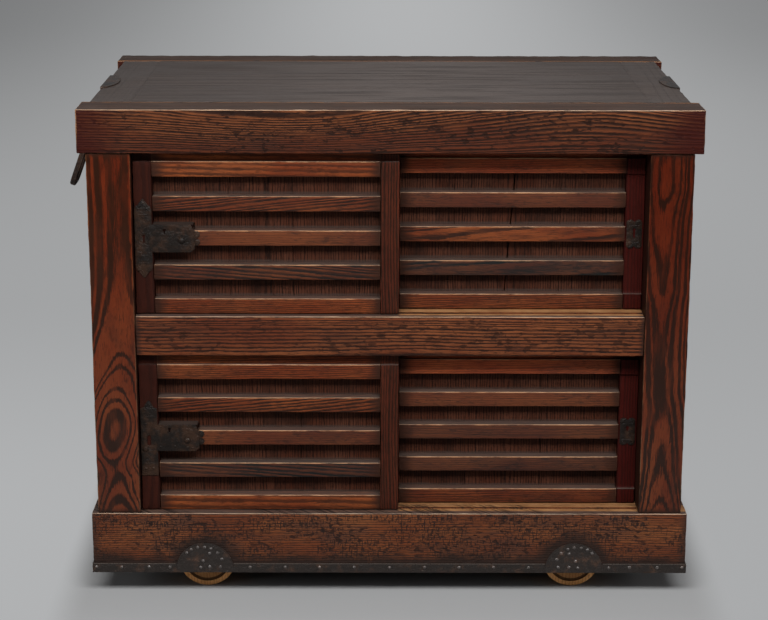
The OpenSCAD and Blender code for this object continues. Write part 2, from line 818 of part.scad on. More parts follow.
module door_panel(s, z, h) {
    w = (door_w - 2 * stile_w) / panel_boards_n;
    color(dark_lacquer) door_at(s, z) for (i = [0 : panel_boards_n - 1])
        slab([stile_w + i * w + (i > 0 ? seam : 0), door_t - panel_t, 0],
            [stile_w + (i + 1) * w, door_t, h]);
}

// Keyhole with its round end up
module keyhole() {
    translate([0, keyhole_l / 2 - keyhole_r]) circle(r = keyhole_r);
    translate([-keyhole_r * 0.55, -keyhole_l / 2]) square([keyhole_r * 1.1, keyhole_l - keyhole_r]);
}

// Stepped and pointed end of an iron stile plate, its shoulders at y = 0
module plate_end(w) {
    step = w / 6;
    polygon([[-w / 2, -1], [w / 2, -1], [w / 2, 0], [w / 2 - step, step * 0.9], [step, step * 1.1],
        [0, 2.3 * step], [-step, step * 1.1], [-w / 2 + step, step * 0.9], [-w / 2, 0]]);
}

// Outline of an iron stile plate, pointed above and, unless it has a square foot, below
module stile_plate_outline(square_foot) {
    rise = 2.3 * lock_plate_w / 6;
    half = lock_plate_h / 2 - rise;
    foot = square_foot ? lock_plate_h / 2 : half;
    translate([-lock_plate_w / 2, -foot]) square([lock_plate_w, half + foot]);
    translate([0, half]) plate_end(lock_plate_w);
    if (!square_foot) mirror([0, 1]) translate([0, half]) plate_end(lock_plate_w);
}

// Outline of the lock box from x = 0, its lower corner rounded and its upper one eased
module lock_box_outline(w) {
    hull() {
        translate([0, -lock_box_h / 2]) square([w / 2, lock_box_h]);
        translate([w - box_corner, box_corner - lock_box_h / 2]) circle(r = box_corner);
        translate([w - box_corner / 2, lock_box_h / 2 - box_corner / 2]) circle(r = box_corner / 2);
    }
}

// Slot that keys have worn in the lower lock plate
module worn_slot() {
    hull() for (k = [-1, 1]) translate([0, k * (worn_slot_l / 2 - worn_slot_r)]) circle(r = worn_slot_r);
}

module lock_block(s, z, h) {
    color(dark_lacquer) door_at(s, z) translate([0, 0, h / 2]) difference() {
        along_y(0, door_t - panel_t) translate([stile_w, 0]) lock_box_outline(lock_box_w);
        slab([stile_w - 1, bolt_set - bolt_t / 2 - bolt_gap, -bolt_h / 2 - bolt_gap],
            [side_gap + long_bolt_l + bolt_gap, bolt_set + bolt_t / 2 + bolt_gap, bolt_h / 2 + bolt_gap]);
    }
}

module lock_plate(s, z, h, lower) {
    x_mid = stile_w / 2;
    box_end = stile_w + lock_box_w;
    ear_h = rail_h - 2 * rail_ease;
    color(iron) door_at(s, z) translate([0, 0, h / 2]) {
        difference() {
            along_y(-plate_t, 0) {
                translate([x_mid, 0]) stile_plate_outline(lower);
                translate([x_mid, 0]) lock_box_outline(box_end - x_mid);
                translate([x_mid, -ear_h / 2]) square([box_end + plate_t - x_mid, ear_h]);
            }
            translate([x_mid, 0, 0]) along_y(-plate_t - 1, 1) if (lower) worn_slot(); else keyhole();
            translate([stile_w + box_keyhole_in, 0, lock_box_h / 4]) along_y(-plate_t - 1, 1) keyhole();
        }
        // End wall of the box, and the lobed ear that lies on the rail
        slab([box_end, -plate_t, -ear_h / 2], [box_end + plate_t, rail_set, ear_h / 2]);
        along_y(rail_set - plate_t, rail_set) intersection() {
            union() {
                translate([box_end, -ear_h / 2]) square([ear_w - lobe_r, ear_h]);
                for (k = [-1, 1]) translate([box_end + ear_w - lobe_r, k * (ear_h / 2 - lobe_r)])
                    circle(r = lobe_r);
            }
            translate([box_end, -ear_h]) square([2 * ear_w, 2 * ear_h]);
        }
        translate([stile_w + stud_in, -plate_t / 2, -stud_down]) mirror([0, 1, 0])
            dome(stud_r, stud_h + plate_t / 2);
    }
}

module long_bolt(s, z, h) {
    color(iron) door_at(s, z)
        slab([side_gap, bolt_set - bolt_t / 2, h / 2 - bolt_h / 2],
            [side_gap + long_bolt_l, bolt_set + bolt_t / 2, h / 2 + bolt_h / 2]);
}

module short_bolt(s, z, h) {
    color(iron) door_at(s, z)
        slab([side_gap, bolt_set - bolt_t / 2, h / 2 - bolt_h / 2],
            [side_gap + short_bolt_l, bolt_set + bolt_t / 2, h / 2 + bolt_h / 2]);
}

module key_plate(s, z, h) {
    half = key_plate_h / 2 - lobe_r;
    color(iron) door_at(s, z) translate([stile_w / 2, scoop, h / 2]) along_y(-plate_t, 0) difference() {
        union() {
            translate([-key_plate_w / 2, -half]) square([key_plate_w, 2 * half]);
            for (j = [-1, 1], k = [-1, 1])
                translate([j * (key_plate_w / 2 - lobe_r), k * half]) circle(r = lobe_r);
        }
        keyhole();
    }
}

module upper_left_stiles() { door_stiles(-1, up_door_z, up_door_h, up_head_gap); }
module upper_left_rails() { door_rails(-1, up_door_z, up_door_h, up_head_gap); }
module upper_left_panel() { door_panel(-1, up_door_z, up_door_h); }
module upper_left_lock_block() { lock_block(-1, up_door_z, up_door_h); }
module upper_left_lock_plate() { lock_plate(-1, up_door_z, up_door_h, false); }
module upper_left_bolt() { long_bolt(-1, up_door_z, up_door_h); }
module upper_right_stiles() { door_stiles(1, up_door_z, up_door_h, up_head_gap); }
module upper_right_rails() { door_rails(1, up_door_z, up_door_h, up_head_gap); }
module upper_right_panel() { door_panel(1, up_door_z, up_door_h); }
module upper_right_key_plate() { key_plate(1, up_door_z, up_door_h); }
module upper_right_bolt() { short_bolt(1, up_door_z, up_door_h); }
module lower_left_stiles() { door_stiles(-1, low_door_z, low_door_h, low_head_gap); }
module lower_left_rails() { door_rails(-1, low_door_z, low_door_h, low_head_gap); }
module lower_left_panel() { door_panel(-1, low_door_z, low_door_h); }
module lower_left_lock_block() { lock_block(-1, low_door_z, low_door_h); }
module lower_left_lock_plate() { lock_plate(-1, low_door_z, low_door_h, true); }
module lower_left_bolt() { long_bolt(-1, low_door_z, low_door_h); }
module lower_right_stiles() { door_stiles(1, low_door_z, low_door_h, low_head_gap); }
module lower_right_rails() { door_rails(1, low_door_z, low_door_h, low_head_gap); }
module lower_right_panel() { door_panel(1, low_door_z, low_door_h); }
module lower_right_key_plate() { key_plate(1, low_door_z, low_door_h); }
module lower_right_bolt() { short_bolt(1, low_door_z, low_door_h); }

top_front_beam();
top_back_beam();
top_side_rails();
top_boards();
post_front_left();
post_front_right();
post_back_left();
post_back_right();
mid_rail_front();
mid_rail_back();
mid_side_rails();
shelf_boards();
side_boards();
back_boards();
base_front_beam();
base_back_beam();
base_end_beams();
door_sill();
floor_boards();
base_band();
axle_plates();
band_nails();
axle_keepers();
axle_left();
axle_right();
wheel_front_left();
wheel_back_left();
wheel_front_right();
wheel_back_right();
axle_pins_left();
axle_pins_right();
handle_plate_left();
handle_plate_right();
handle_left();
handle_right();
upper_left_stiles();
upper_left_rails();
upper_left_panel();
upper_left_lock_block();
upper_left_lock_plate();
upper_left_bolt();
upper_right_stiles();
upper_right_rails();
upper_right_panel();
upper_right_key_plate();
upper_right_bolt();
lower_left_stiles();
lower_left_rails();
lower_left_panel();
lower_left_lock_block();
lower_left_lock_plate();
lower_left_bolt();
lower_right_stiles();
lower_right_rails();
lower_right_panel();
lower_right_key_plate();
lower_right_bolt();
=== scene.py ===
"""Wheeled storage chest: worn timbers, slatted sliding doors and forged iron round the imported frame."""

import math

import bmesh
import bpy
from mathutils import Matrix, Vector


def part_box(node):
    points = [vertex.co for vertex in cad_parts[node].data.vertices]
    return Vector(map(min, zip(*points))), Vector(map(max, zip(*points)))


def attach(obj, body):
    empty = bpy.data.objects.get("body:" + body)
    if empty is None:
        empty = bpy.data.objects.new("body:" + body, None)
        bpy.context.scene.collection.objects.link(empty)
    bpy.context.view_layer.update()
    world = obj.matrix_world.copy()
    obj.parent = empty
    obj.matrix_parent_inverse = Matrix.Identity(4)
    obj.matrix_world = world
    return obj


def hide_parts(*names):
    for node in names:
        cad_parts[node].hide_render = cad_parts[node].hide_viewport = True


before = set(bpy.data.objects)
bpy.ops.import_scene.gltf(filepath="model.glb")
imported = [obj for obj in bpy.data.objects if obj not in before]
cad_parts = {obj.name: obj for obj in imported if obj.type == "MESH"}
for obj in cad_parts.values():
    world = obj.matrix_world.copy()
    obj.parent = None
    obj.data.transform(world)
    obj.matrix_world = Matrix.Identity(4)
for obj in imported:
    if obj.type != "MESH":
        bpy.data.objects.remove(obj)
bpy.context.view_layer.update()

bl_info = {
    "name": "Wheeled Storage Chest",
    "version": (1, 0, 0),
    "blender": (4, 5, 0),
    "location": "3D View > Sidebar > Chest",
    "description": "Worn timbers, slatted sliding doors and forged iron on the chest's frame",
    "category": "Add Mesh",
}

MM = 0.001
AXES = {"X": 0, "Y": 1, "Z": 2}


# Settings

class ChestWoodSettings(bpy.types.PropertyGroup):
    """Colours and wear of the woods."""

    latewood: bpy.props.FloatVectorProperty(
        name="Latewood", description="Red-brown wood between the dark grain lines",
        subtype="COLOR", size=3, default=(0.122, 0.0265, 0.0098), min=0, max=1)
    worn_wood: bpy.props.FloatVectorProperty(
        name="Worn wood", description="Wood where the lacquer has thinned",
        subtype="COLOR", size=3, default=(0.200, 0.0540, 0.0165), min=0, max=1)
    grain: bpy.props.FloatVectorProperty(
        name="Grain", description="Lacquer held in the open pores of the rings",
        subtype="COLOR", size=3, default=(0.0225, 0.0095, 0.0062), min=0, max=1)
    dust: bpy.props.FloatVectorProperty(
        name="Dust", description="Grey-brown bloom on faces that look up",
        subtype="COLOR", size=3, default=(0.078, 0.057, 0.048), min=0, max=1)
    # The arris colour is also the ground of the painted highlight on the arrises that face up
    arris: bpy.props.FloatVectorProperty(
        name="Arris", description="Bare wood on the rubbed arrises",
        subtype="COLOR", size=3, default=(0.42, 0.21, 0.10), min=0, max=1)
    arris_wear: bpy.props.FloatProperty(
        name="Arris wear", description="How deep the arrises of the timbers are worn",
        subtype="DISTANCE", unit="LENGTH", default=0.0005, min=0, max=0.004)
    ease: bpy.props.FloatProperty(
        name="Ease", description="Radius along the timbers' arrises",
        subtype="DISTANCE", unit="LENGTH", default=0.0022, min=0.0005, max=0.005)


class ChestIronSettings(bpy.types.PropertyGroup):
    """Colours and sizes of the ironwork."""

    iron: bpy.props.FloatVectorProperty(
        name="Iron", description="Black lacquered iron",
        subtype="COLOR", size=3, default=(0.0205, 0.0150, 0.0125), min=0, max=1)
    rust: bpy.props.FloatVectorProperty(
        name="Rust", description="Brown rust that shows through the lacquer",
        subtype="COLOR", size=3, default=(0.065, 0.033, 0.020), min=0, max=1)
    nail_radius: bpy.props.FloatProperty(
        name="Nail radius", description="Radius of a nail's head",
        subtype="DISTANCE", unit="LENGTH", default=0.0032, min=0.001, max=0.006)


class ChestStageSettings(bpy.types.PropertyGroup):
    """Floor, lamps and background."""

    floor: bpy.props.FloatVectorProperty(
        name="Floor", description="Colour of the pale floor",
        subtype="COLOR", size=3, default=(0.325, 0.327, 0.330), min=0, max=1)
    key_power: bpy.props.FloatProperty(
        name="Key lamp", description="Power of the large lamp over the front",
        unit="POWER", default=232, min=0, max=2000)
    side_power: bpy.props.FloatProperty(
        name="Side lamps", description="Power of each side lamp",
        unit="POWER", default=20, min=0, max=2000)
    sky: bpy.props.FloatProperty(
        name="Room light", description="Strength of the even light from all round",
        default=0.035, min=0, max=1)


# Materials

# Each wood's tones: between the grain lines, where the lacquer is thin, in the lines, and bare on the
# arrises, from which the painted highlight on the upward arrises is also made
BEAM_TONES = (0.080, 0.0212, 0.0098), (0.140, 0.0455, 0.0175), (0.0165, 0.0078, 0.0057), (0.42, 0.22, 0.11)
BASE_TONES = (0.116, 0.0330, 0.0140), (0.184, 0.0650, 0.0240), (0.0360, 0.0165, 0.0115), (0.34, 0.19, 0.10)
DARK_TONES = (0.052, 0.0125, 0.0070), (0.080, 0.0190, 0.0090), (0.017, 0.0075, 0.0048), (0.085, 0.042, 0.026)
RED_TONES = (0.036, 0.0043, 0.0034), (0.047, 0.0060, 0.0040), (0.022, 0.0040, 0.0030), (0.11, 0.045, 0.025)
PANEL_TONES = (0.051, 0.0160, 0.0088), (0.070, 0.0262, 0.0152), (0.012, 0.0054, 0.0038), (0.085, 0.042, 0.026)
TOP_TONES = (0.055, 0.041, 0.036), (0.076, 0.058, 0.050), (0.031, 0.023, 0.020), (0.16, 0.09, 0.05)
INSIDE_TONES = (0.16, 0.085, 0.04), (0.22, 0.12, 0.06), (0.08, 0.045, 0.025), (0.3, 0.2, 0.1)
# Painted light: the wheels' tones are far brighter than their wood, standing in for light that the chest's
# shadow keeps off them
WHEEL_TONES = (0.80, 0.38, 0.135), (0.90, 0.48, 0.195), (0.56, 0.25, 0.092), (0.78, 0.47, 0.24)
# What a darkened slat gains in green and blue
GRIME_GREY = (0.0, 0.012, 0.014)
# Greatest brightness and spread in a slat's look, which a colour ramp keeps as shares
MOST_BRIGHT = 3
MOST_SPREAD = 2
# Places on the chest that the finishes go by
WHEEL_X = 347 * MM
AXLE_HEIGHT = 54 * MM
BAND_FOOT = 48 * MM
BAND_TOP = 66 * MM
FRONT_TRACK = -326.5 * MM
POST_INSIDE = 466.5 * MM
TOP_SEAM = 265 * MM
# Half the width and depth of the floor that the chest shades
SHADOW_X = 560 * MM
SHADOW_Y = 350 * MM


class Flow:
    """A socket in a material's tree. Its operators add Math nodes, and node() adds any other node."""

    def __init__(self, tree, socket=None):
        self.tree = tree
        self.socket = socket

    def node(self, kind, settings=None, values=None, out=0):
        """Adds a node: its settings first, then the values or links of its sockets."""
        new = self.tree.nodes.new("ShaderNode" + kind)
        for key, value in (settings or {}).items():
            if key == "stops":
                ramp = new.color_ramp
                while len(ramp.elements) < len(value):
                    ramp.elements.new(1.0)
                for element, (place, colour) in zip(ramp.elements, value):
                    element.position = place
                    element.color = (*colour, 1.0)
            elif key == "spread":
                new.color_ramp.interpolation = value
            else:
                setattr(new, key, value)
        for key, value in (values or {}).items():
            if isinstance(value, Flow):
                self.tree.links.new(value.socket, new.inputs[key])
            elif value is not None:
                new.inputs[key].default_value = value
        return Flow(self.tree, new.outputs[out]) if new.outputs else Flow(self.tree)

    def math(self, operation, *others):
        """One Math node on this value and others."""
        return self.node("Math", {"operation": operation}, dict(enumerate((self, *others))))

    def __add__(self, other):
        return self.math("ADD", other)

    __radd__ = __add__

    def __sub__(self, other):
        return self.math("SUBTRACT", other)

    def __rsub__(self, other):
        return self.node("Math", {"operation": "SUBTRACT"}, {0: other, 1: self})

    def __mul__(self, other):
        return self.math("MULTIPLY", other)

    __rmul__ = __mul__

    def __truediv__(self, other):
        return self.math("DIVIDE", other)

    def __abs__(self):
        return self.math("ABSOLUTE")

    def __mod__(self, other):
        return self.math("FLOORED_MODULO", other)

    def __floordiv__(self, other):
        return (self / other).math("FLOOR")

    def least(self, other):
        """The lesser of two values."""
        return self.math("MINIMUM", other)

    def most(self, other):
        """The greater of two values."""
        return self.math("MAXIMUM", other)

    def fade(self, start, end, low=0.0, high=1.0):
        """Smooth step from low at start to high at end."""
        return self.node("MapRange", {"interpolation_type": "SMOOTHSTEP"},
                         {"Value": self, "From Min": start, "From Max": end, "To Min": low, "To Max": high})

    def parts(self):
        """The X, Y and Z of a vector."""
        split = self.node("SeparateXYZ", None, {0: self})
        outs = split.socket.node.outputs
        return [Flow(self.tree, outs[i]) for i in range(3)]

    def vector(self, x, y, z):
        """A vector from three values."""
        return self.node("CombineXYZ", None, {0: x, 1: y, 2: z})

    def noise(self, place, scale=1.0, detail=2.0, rough=0.5, w=0.0):
        """Fractal noise, mostly from 0.25 to 0.75."""
        return self.node("TexNoise", {"noise_dimensions": "4D"},
                         {"Vector": place, "W": w, "Scale": scale, "Detail": detail, "Roughness": rough})

    def blend(self, first, second):
        """first where this value is 0, second where it is 1."""
        return self.node("Mix", {"data_type": "RGBA", "clamp_factor": True},
                         {0: self, 6: solid(first), 7: solid(second)}, 2)


def solid(colour):
    """A colour as a socket takes it."""
    if isinstance(colour, Flow):
        return colour
    return (*colour[:3], 1.0)


def new_finish(name):
    """An empty material and its tree."""
    material = bpy.data.materials.new(name)
    material.use_nodes = True
    material.node_tree.nodes.clear()
    return material, Flow(material.node_tree)


def close_finish(flow, colour, rough, height, depth, metal=0.0, specular=0.5):
    """Joins colour, roughness and relief to the surface."""
    normal = flow.node("Bump", None, {"Strength": 1.0, "Distance": depth, "Height": height})
    surface = flow.node("BsdfPrincipled", None, {
        "Base Color": colour, "Roughness": rough, "Metallic": metal, "Normal": normal,
        "Specular IOR Level": specular})
    flow.node("OutputMaterial", None, {"Surface": surface})


def shaded(tone, share):
    """A tone made darker or lighter."""
    return tuple(value * share for value in tone)


def diagonal(a, b):
    """Distance whose two sides are a and b."""
    return (a * a + b * b).math("SQRT")


def edge_distance(spots, low, high):
    """Distance along the surface of a box-shaped timber to its nearest arris."""
    gaps = [(b - a) / 2 - abs(spot - (a + b) / 2) for spot, a, b in zip(spots, low, high)]
    least = gaps[0].least(gaps[1]).least(gaps[2])
    most = gaps[0].most(gaps[1]).most(gaps[2])
    return gaps[0] + gaps[1] + gaps[2] - least - most


def curve_of(flow, along, stops):
    """A smooth curve over the place along a timber, through a list of (place, value)."""
    start, end = stops[0][0], stops[-1][0]
    low, high = min(value for _, value in stops), max(value for _, value in stops)
    span = max(high - low, 1e-6)
    greys = [((at - start) / (end - start), [(value - low) / span] * 3) for at, value in stops]
    ramp = flow.node("ValToRGB", {"stops": greys, "spread": "B_SPLINE"}, {0: (along - start) / (end - start)})
    return ramp.node("SeparateColor", None, {0: ramp}) * span + low


def steps_of(flow, index, values):
    """Three numbers of one of a row of like pieces, each from 0 to 1."""
    stops = [(i / len(values), value) for i, value in enumerate(values)]
    ramp = flow.node("ValToRGB", {"stops": stops, "spread": "CONSTANT"}, {0: (index + 0.5) / len(values)})
    split = flow.node("SeparateColor", None, {0: ramp})
    return [Flow(flow.tree, out) for out in split.socket.node.outputs]


def ring_wood(name, grain, pith, spacing, dark_share, seed, box=None, tones=None, wobble=0.004, scuff=0.3,
              dark_ends=0.0, haze=0.45, repeat=None, arris_light=0.8, looks=(), specular=0.04, dust=0.8,
              figure=None, bend=None, rise=0.0, red_ends=0.0, extra=None):
    """Ring-porous wood sawn from a log, under wiped lacquer.

    grain is the axis along the wood, pith the log's middle across and behind the face, spacing the width of
    a ring and dark_share the dark part of it. box holds the timber's corners, for worn arrises with a painted
    highlight on those that face up, and for darker ends, painted shade of the joints with some grime.
    repeat is a (start, pitch) of like pieces along Z, whose looks are a list of (brightness, strength of the
    lines, their slope, their spread, redness) from the lowest up. figure is the pith's path and the dark
    rings of one post: a list of (place along, across, depth behind the face) and a list of (radius, width).
    bend is a list of (place along, lift of the grain lines at the top arris), rise how much brighter the
    upper part is, red_ends the length of the red ends, and extra a function that colours the wood further.
    """
    wood = bpy.context.scene.chest_wood
    late, worn, dark, bare = tones or wiped_tones()
    material, flow = new_finish(name)
    spots = x, y, z = flow.node("TexCoord", None, None, "Object").parts()
    _, turn_y, facing = flow.node("TexCoord", None, None, "Normal").parts()
    shift = seed
    if repeat:
        index = (z - repeat[0]) // repeat[1]
        z = z - index * repeat[1]
        shift = index * 3.7 + seed
    along, across, behind = {"X": (x, z, y), "Z": (z, x, y), "Y": (y, z, x)}[grain]

    def speckle(scale, stretch, detail=2.0, rough_grain=0.5):
        """Noise drawn out along the grain."""
        spot = flow.vector(along * (scale / stretch), across * scale, behind * scale)
        return flow.noise(spot, 1.0, detail, rough_grain, shift)

    sway = speckle(5.0, 2.5)
    ripple = speckle(60.0, 5.0)
    fray = speckle(650.0, 16.0, 3.0, 0.7) - 0.5
    patchy = speckle(60.0, 6.0, 3.0, 0.6)
    line, depth = across - pith[0], behind - pith[1]
    strength = patchy.fade(0.28, 0.50, 0.55, 1.0)
    if repeat:
        share, lines, slope = steps_of(flow, index, [(bright / MOST_BRIGHT, strong, lean + 0.5)
                                                     for bright, strong, lean, _, _ in looks])
        share = share * MOST_BRIGHT
        own = flow.noise(flow.vector(0.0, 0.0, 0.0), w=shift)
        line = line + own.fade(0.3, 0.7, 0.020, 0.090) + along * (slope - 0.5)
        strength = strength * lines
        spread, redness, _ = steps_of(flow, index, [(wide / MOST_SPREAD, red, 0.0)
                                                    for _, _, _, wide, red in looks])
        spacing = spread * (spacing * MOST_SPREAD)
    if bend:
        low_z, high_z = box[0][2], box[1][2]
        line = line - curve_of(flow, along, bend) * across.fade(low_z, high_z, 0.25, 1.0)
    if figure:
        path, rings = figure
        line = across - curve_of(flow, along, [(at, middle) for at, middle, _ in path])
        depth = behind - box[0][1] - curve_of(flow, along, [(at, deep) for at, _, deep in path])
        radius = diagonal(line, depth) + (sway - 0.5) * 0.0016 + (ripple - 0.5) * 0.0018 + fray * 0.0036
        band = None
        for middle, width in rings:
            ring = abs(radius - middle).fade(width * 1.05, width * 0.55)
            band = ring if band is None else band.most(ring)
    else:
        radius = diagonal(line, depth) + (sway - 0.5) * (wobble * 6) + (ripple - 0.5) * wobble
        ring = radius / spacing
        ring = ring + flow.noise(flow.vector(ring * 0.31, 0.0, 0.0), 1.0, 1.0, 0.5, shift) * 2.6 + fray
        phase = ring.math("FRACT")
        band = phase.fade(dark_share * 0.6, dark_share * 1.3, 1.0, 0.0) * phase.fade(0.0, 0.12)
    fibres = speckle(900.0, 30.0, 2.0, 0.6)
    pores = speckle(420.0, 7.0)
    blotch = speckle(14.0, 2.8, 4.0, 0.6)
    smoke = speckle(22.0, 3.0, 5.0, 0.65)
    marks = speckle(150.0, 2.2)
    grain_mask = (band * strength).most(pores.fade(0.56, 0.68) * 0.60)
    bloom = blotch
    if rise:
        bloom = bloom + across.fade(box[0][2], box[1][2], -rise, rise)
    colour = bloom.fade(0.35, 0.68).blend(late, worn)
    if repeat:
        colour = redness.blend(colour, (late[0] * 0.5, late[1] * 0.30, late[2] * 0.5))
    colour = (fibres.fade(0.35, 0.7) * 0.35).blend(colour, shaded(late, 0.55))
    colour = grain_mask.least(1.0).blend(colour, dark)
    colour = (smoke.fade(0.46, 0.70) * haze).blend(colour, shaded(dark, 1.5))
    marks = marks.fade(0.54, 0.62) * smoke.fade(0.40, 0.56)
    colour = (marks * scuff).blend(colour, shaded(dark, 0.8))
    # A look brighter than its wood is painted light, as on the right doors' top slats in the shade above them
    if repeat:
        colour = flow.node("VectorMath", {"operation": "SCALE"}, {0: colour, "Scale": share})
        lost = (1 - share).most(0.0)
        grey = flow.node("VectorMath", {"operation": "SCALE"}, {0: GRIME_GREY, "Scale": lost})
        colour = flow.node("VectorMath", {"operation": "ADD"}, {0: colour, 1: grey})
    height = (1 - grain_mask * 0.7) + fibres * 0.35 - marks * scuff
    shine = blotch.fade(0.3, 0.7, 0.44, 0.58)
    nick = speckle(22.0, 1.0, 4.0, 0.65)
    if box:
        low, high = box
        edge = edge_distance((x, y, z), low, high)
        axis = AXES[grain]
        end = (high[axis] - low[axis]) / 2 - abs(along - (low[axis] + high[axis]) / 2)
        if red_ends:
            red = (late[0] * 0.34, late[1] * 0.22, late[2] * 0.38)
            faded = (end + (blotch - 0.5) * red_ends).fade(red_ends * 0.1, red_ends, 0.8, 0.0)
            colour = faded.blend(colour, red)
        # Bare wood rubbed on the arrises: wear, kept off the arrises that face down and, on timbers along X,
        # off the lower ones, where shade falls
        rub = edge.fade(0.0010, 0.0026, 1.0, 0.0) * edge.fade(-0.003, -0.001) * nick.fade(0.38, 0.60)
        rub = rub * facing.fade(-0.40, -0.05)
        if grain == "X":
            rub = rub * across.fade(low[2], high[2])
        colour = (rub * arris_light).blend(colour, bare)
        # Darker ends where the piece meets others: painted shade of the joints, with some grime
        if dark_ends:
            gap_shade_and_grime = (end + (nick - 0.5) * dark_ends).fade(0.0, dark_ends, 0.95, 0.0)
            colour = gap_shade_and_grime.blend(colour, shaded(dark, 1.2))
    if dust:
        layer = facing.fade(0.55, 0.9) * smoke.fade(0.30, 0.60, 1.0, 0.72) * dust
        colour = layer.blend(colour, tuple(wood.dust))
    if extra:
        colour = extra(flow, spots, facing, colour, nick)
    # Painted highlight: the arrises that face up turn pale, palest where they also face the front
    if box and arris_light:
        upward_arris_highlight = facing.fade(0.30, 0.55) * facing.fade(0.80, 0.95, 1.0, 0.0)
        upward_arris_highlight = upward_arris_highlight * ripple.fade(0.30, 0.62, 0.25, 1.0)
        pale = (bare[0] * 1.1, bare[1] * 1.5, bare[2] * 2.1)
        colour = (upward_arris_highlight * arris_light).blend(colour, turn_y.fade(-0.6, -0.2, 1.0, 0.0).blend(bare, pale))
    close_finish(flow, colour, shine, height, 0.0005, specular=specular)
    return material


def wiped_tones(share=1.0):
    """Tones of the red-brown lacquered wood; share darkens what lies between the grain lines."""
    wood = bpy.context.scene.chest_wood
    return (shaded(wood.latewood, share), shaded(wood.worn_wood, share), tuple(wood.grain), tuple(wood.arris))


def post_tones():
    """Tones of the posts, redder than the beams."""
    wood = bpy.context.scene.chest_wood
    return (0.080, 0.0150, 0.0070), (0.110, 0.0250, 0.0095), shaded(wood.grain, 0.85), tuple(wood.arris)


def beam_tones(share):
    """Tones of the top beams and middle rails."""
    return (*(shaded(tone, share) for tone in BEAM_TONES[:3]), BEAM_TONES[3])


def bare_track(flow, spots, facing, colour, nick):
    """Pale wood rubbed raw where the front doors slide over it, beside the closed door."""
    x, y, _ = spots
    wear_and_highlight = facing.fade(0.6, 0.9) * x.fade(0.012, 0.022)
    wear_and_highlight = wear_and_highlight * (y + nick * 0.004).fade(FRONT_TRACK, FRONT_TRACK + 3 * MM)
    raw = nick.fade(0.35, 0.65).blend((0.240, 0.110, 0.043), (0.350, 0.175, 0.073))
    return (wear_and_highlight * 0.92).blend(colour, raw)


def beam_top(flow, spots, facing, colour, nick):
    """Dark streaks in the dust on top of a beam, and a line worn orange along its seam with the boards."""
    x, y, _ = spots
    streak = flow.noise(flow.vector(x * 5.0, y * 160.0, 0.0), 1.0, 3.0, 0.6, 7.0)
    up = facing.fade(0.6, 0.9)
    colour = (streak.fade(0.50, 0.60) * up * 0.75).blend(colour, (0.040, 0.029, 0.024))
    seam = (nick * 0.006 + TOP_SEAM - abs(y)).fade(0.0, 0.0020)
    seam = seam * facing.fade(0.3, 0.6) * nick.fade(0.30, 0.46)
    return (seam * 0.85).blend(colour, (0.230, 0.105, 0.048))


def post_shade(flow, spots, facing, colour, nick):
    """Posts browner below and redder above, with painted shade on the sides that face the doors."""
    x, _, z = spots
    above = x.fade(-0.1, 0.1).blend((1.09, 0.82, 0.60), (0.75, 0.49, 0.36))
    tint = z.fade(0.20, 0.82).blend((1.03, 1.30, 1.52), above)
    colour = flow.node("VectorMath", {"operation": "MULTIPLY"}, {0: colour, 1: tint})
    # Painted shade on the post's inner side, in the gap beside the doors
    gap_shade_and_grime = (abs(x) + nick * 0.002).fade(POST_INSIDE, POST_INSIDE + 2 * MM, 0.85, 0.0)
    return gap_shade_and_grime.blend(colour, (0.012, 0.0055, 0.0040))


def base_stain(flow, spots, facing, colour, nick):
    """Small dents and dark stain round the iron band and half-moon plates, below a raw track."""
    x, y, z = spots
    colour = bare_track(flow, spots, facing, colour, nick)
    run = x + y
    upright = flow.noise(flow.vector(run * 300.0, 0.0, z * 80.0), 1.0, 1.0, 0.5)
    lying = flow.noise(flow.vector(run * 110.0, 0.0, z * 400.0), 1.0, 1.0, 0.5)
    patch = flow.noise(flow.vector(run * 9.0, 0.0, z * 22.0), 1.0, 3.0, 0.6)
    dents = upright.fade(0.54, 0.60).most(lying.fade(0.55, 0.61)) * patch.fade(0.40, 0.52)
    colour = (dents * 0.85).blend(colour, (0.016, 0.011, 0.0095))
    ragged = (nick - 0.5) * 0.05
    moon = (diagonal(abs(x) - WHEEL_X, z - BAND_FOOT) + ragged).fade(0.058, 0.092, 1.0, 0.0)
    strip = (z + ragged).fade(0.068, 0.094, 0.95, 0.0)
    return moon.most(strip).least(0.95).blend(colour, (0.019, 0.0125, 0.0105))


def dusty_foot(flow, spots, facing, colour, nick):
    """Dust gathered on the panel's boards just above each slat."""
    low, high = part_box("upper_left_panel")
    pitch = (high.z - low.z - RAIL_HEIGHT) / (SLATS - 1)
    above = (spots[2] - low.z - RAIL_HEIGHT) % pitch
    return (above + nick * 0.004).fade(0.0035, 0.0085, 0.75, 0.0).blend(colour, (0.046, 0.032, 0.027))


def darker_lock_stile(flow, spots, facing, colour, nick):
    """Darker towards the left edge of the stile that carries the lock."""
    return spots[0].fade(-0.43, -0.40, 0.80, 0.0).blend(colour, (0.019, 0.0055, 0.0040))


def wheel_rings(flow, spots, facing, colour, nick):
    """Palest rim, worn and lit by painted light, with a dark groove and browner middle painted as shade."""
    x, _, z = spots
    radius = diagonal(abs(x) - WHEEL_X, z - AXLE_HEIGHT) + (nick - 0.5) * 0.001
    colour = radius.fade(0.0445, 0.0455, 0.6, 0.0).blend(colour, (0.17, 0.075, 0.030))
    groove = radius.fade(0.0390, 0.0400) * radius.fade(0.0440, 0.0452, 1.0, 0.0)
    return (groove * 0.8).blend(colour, (0.03, 0.015, 0.009))


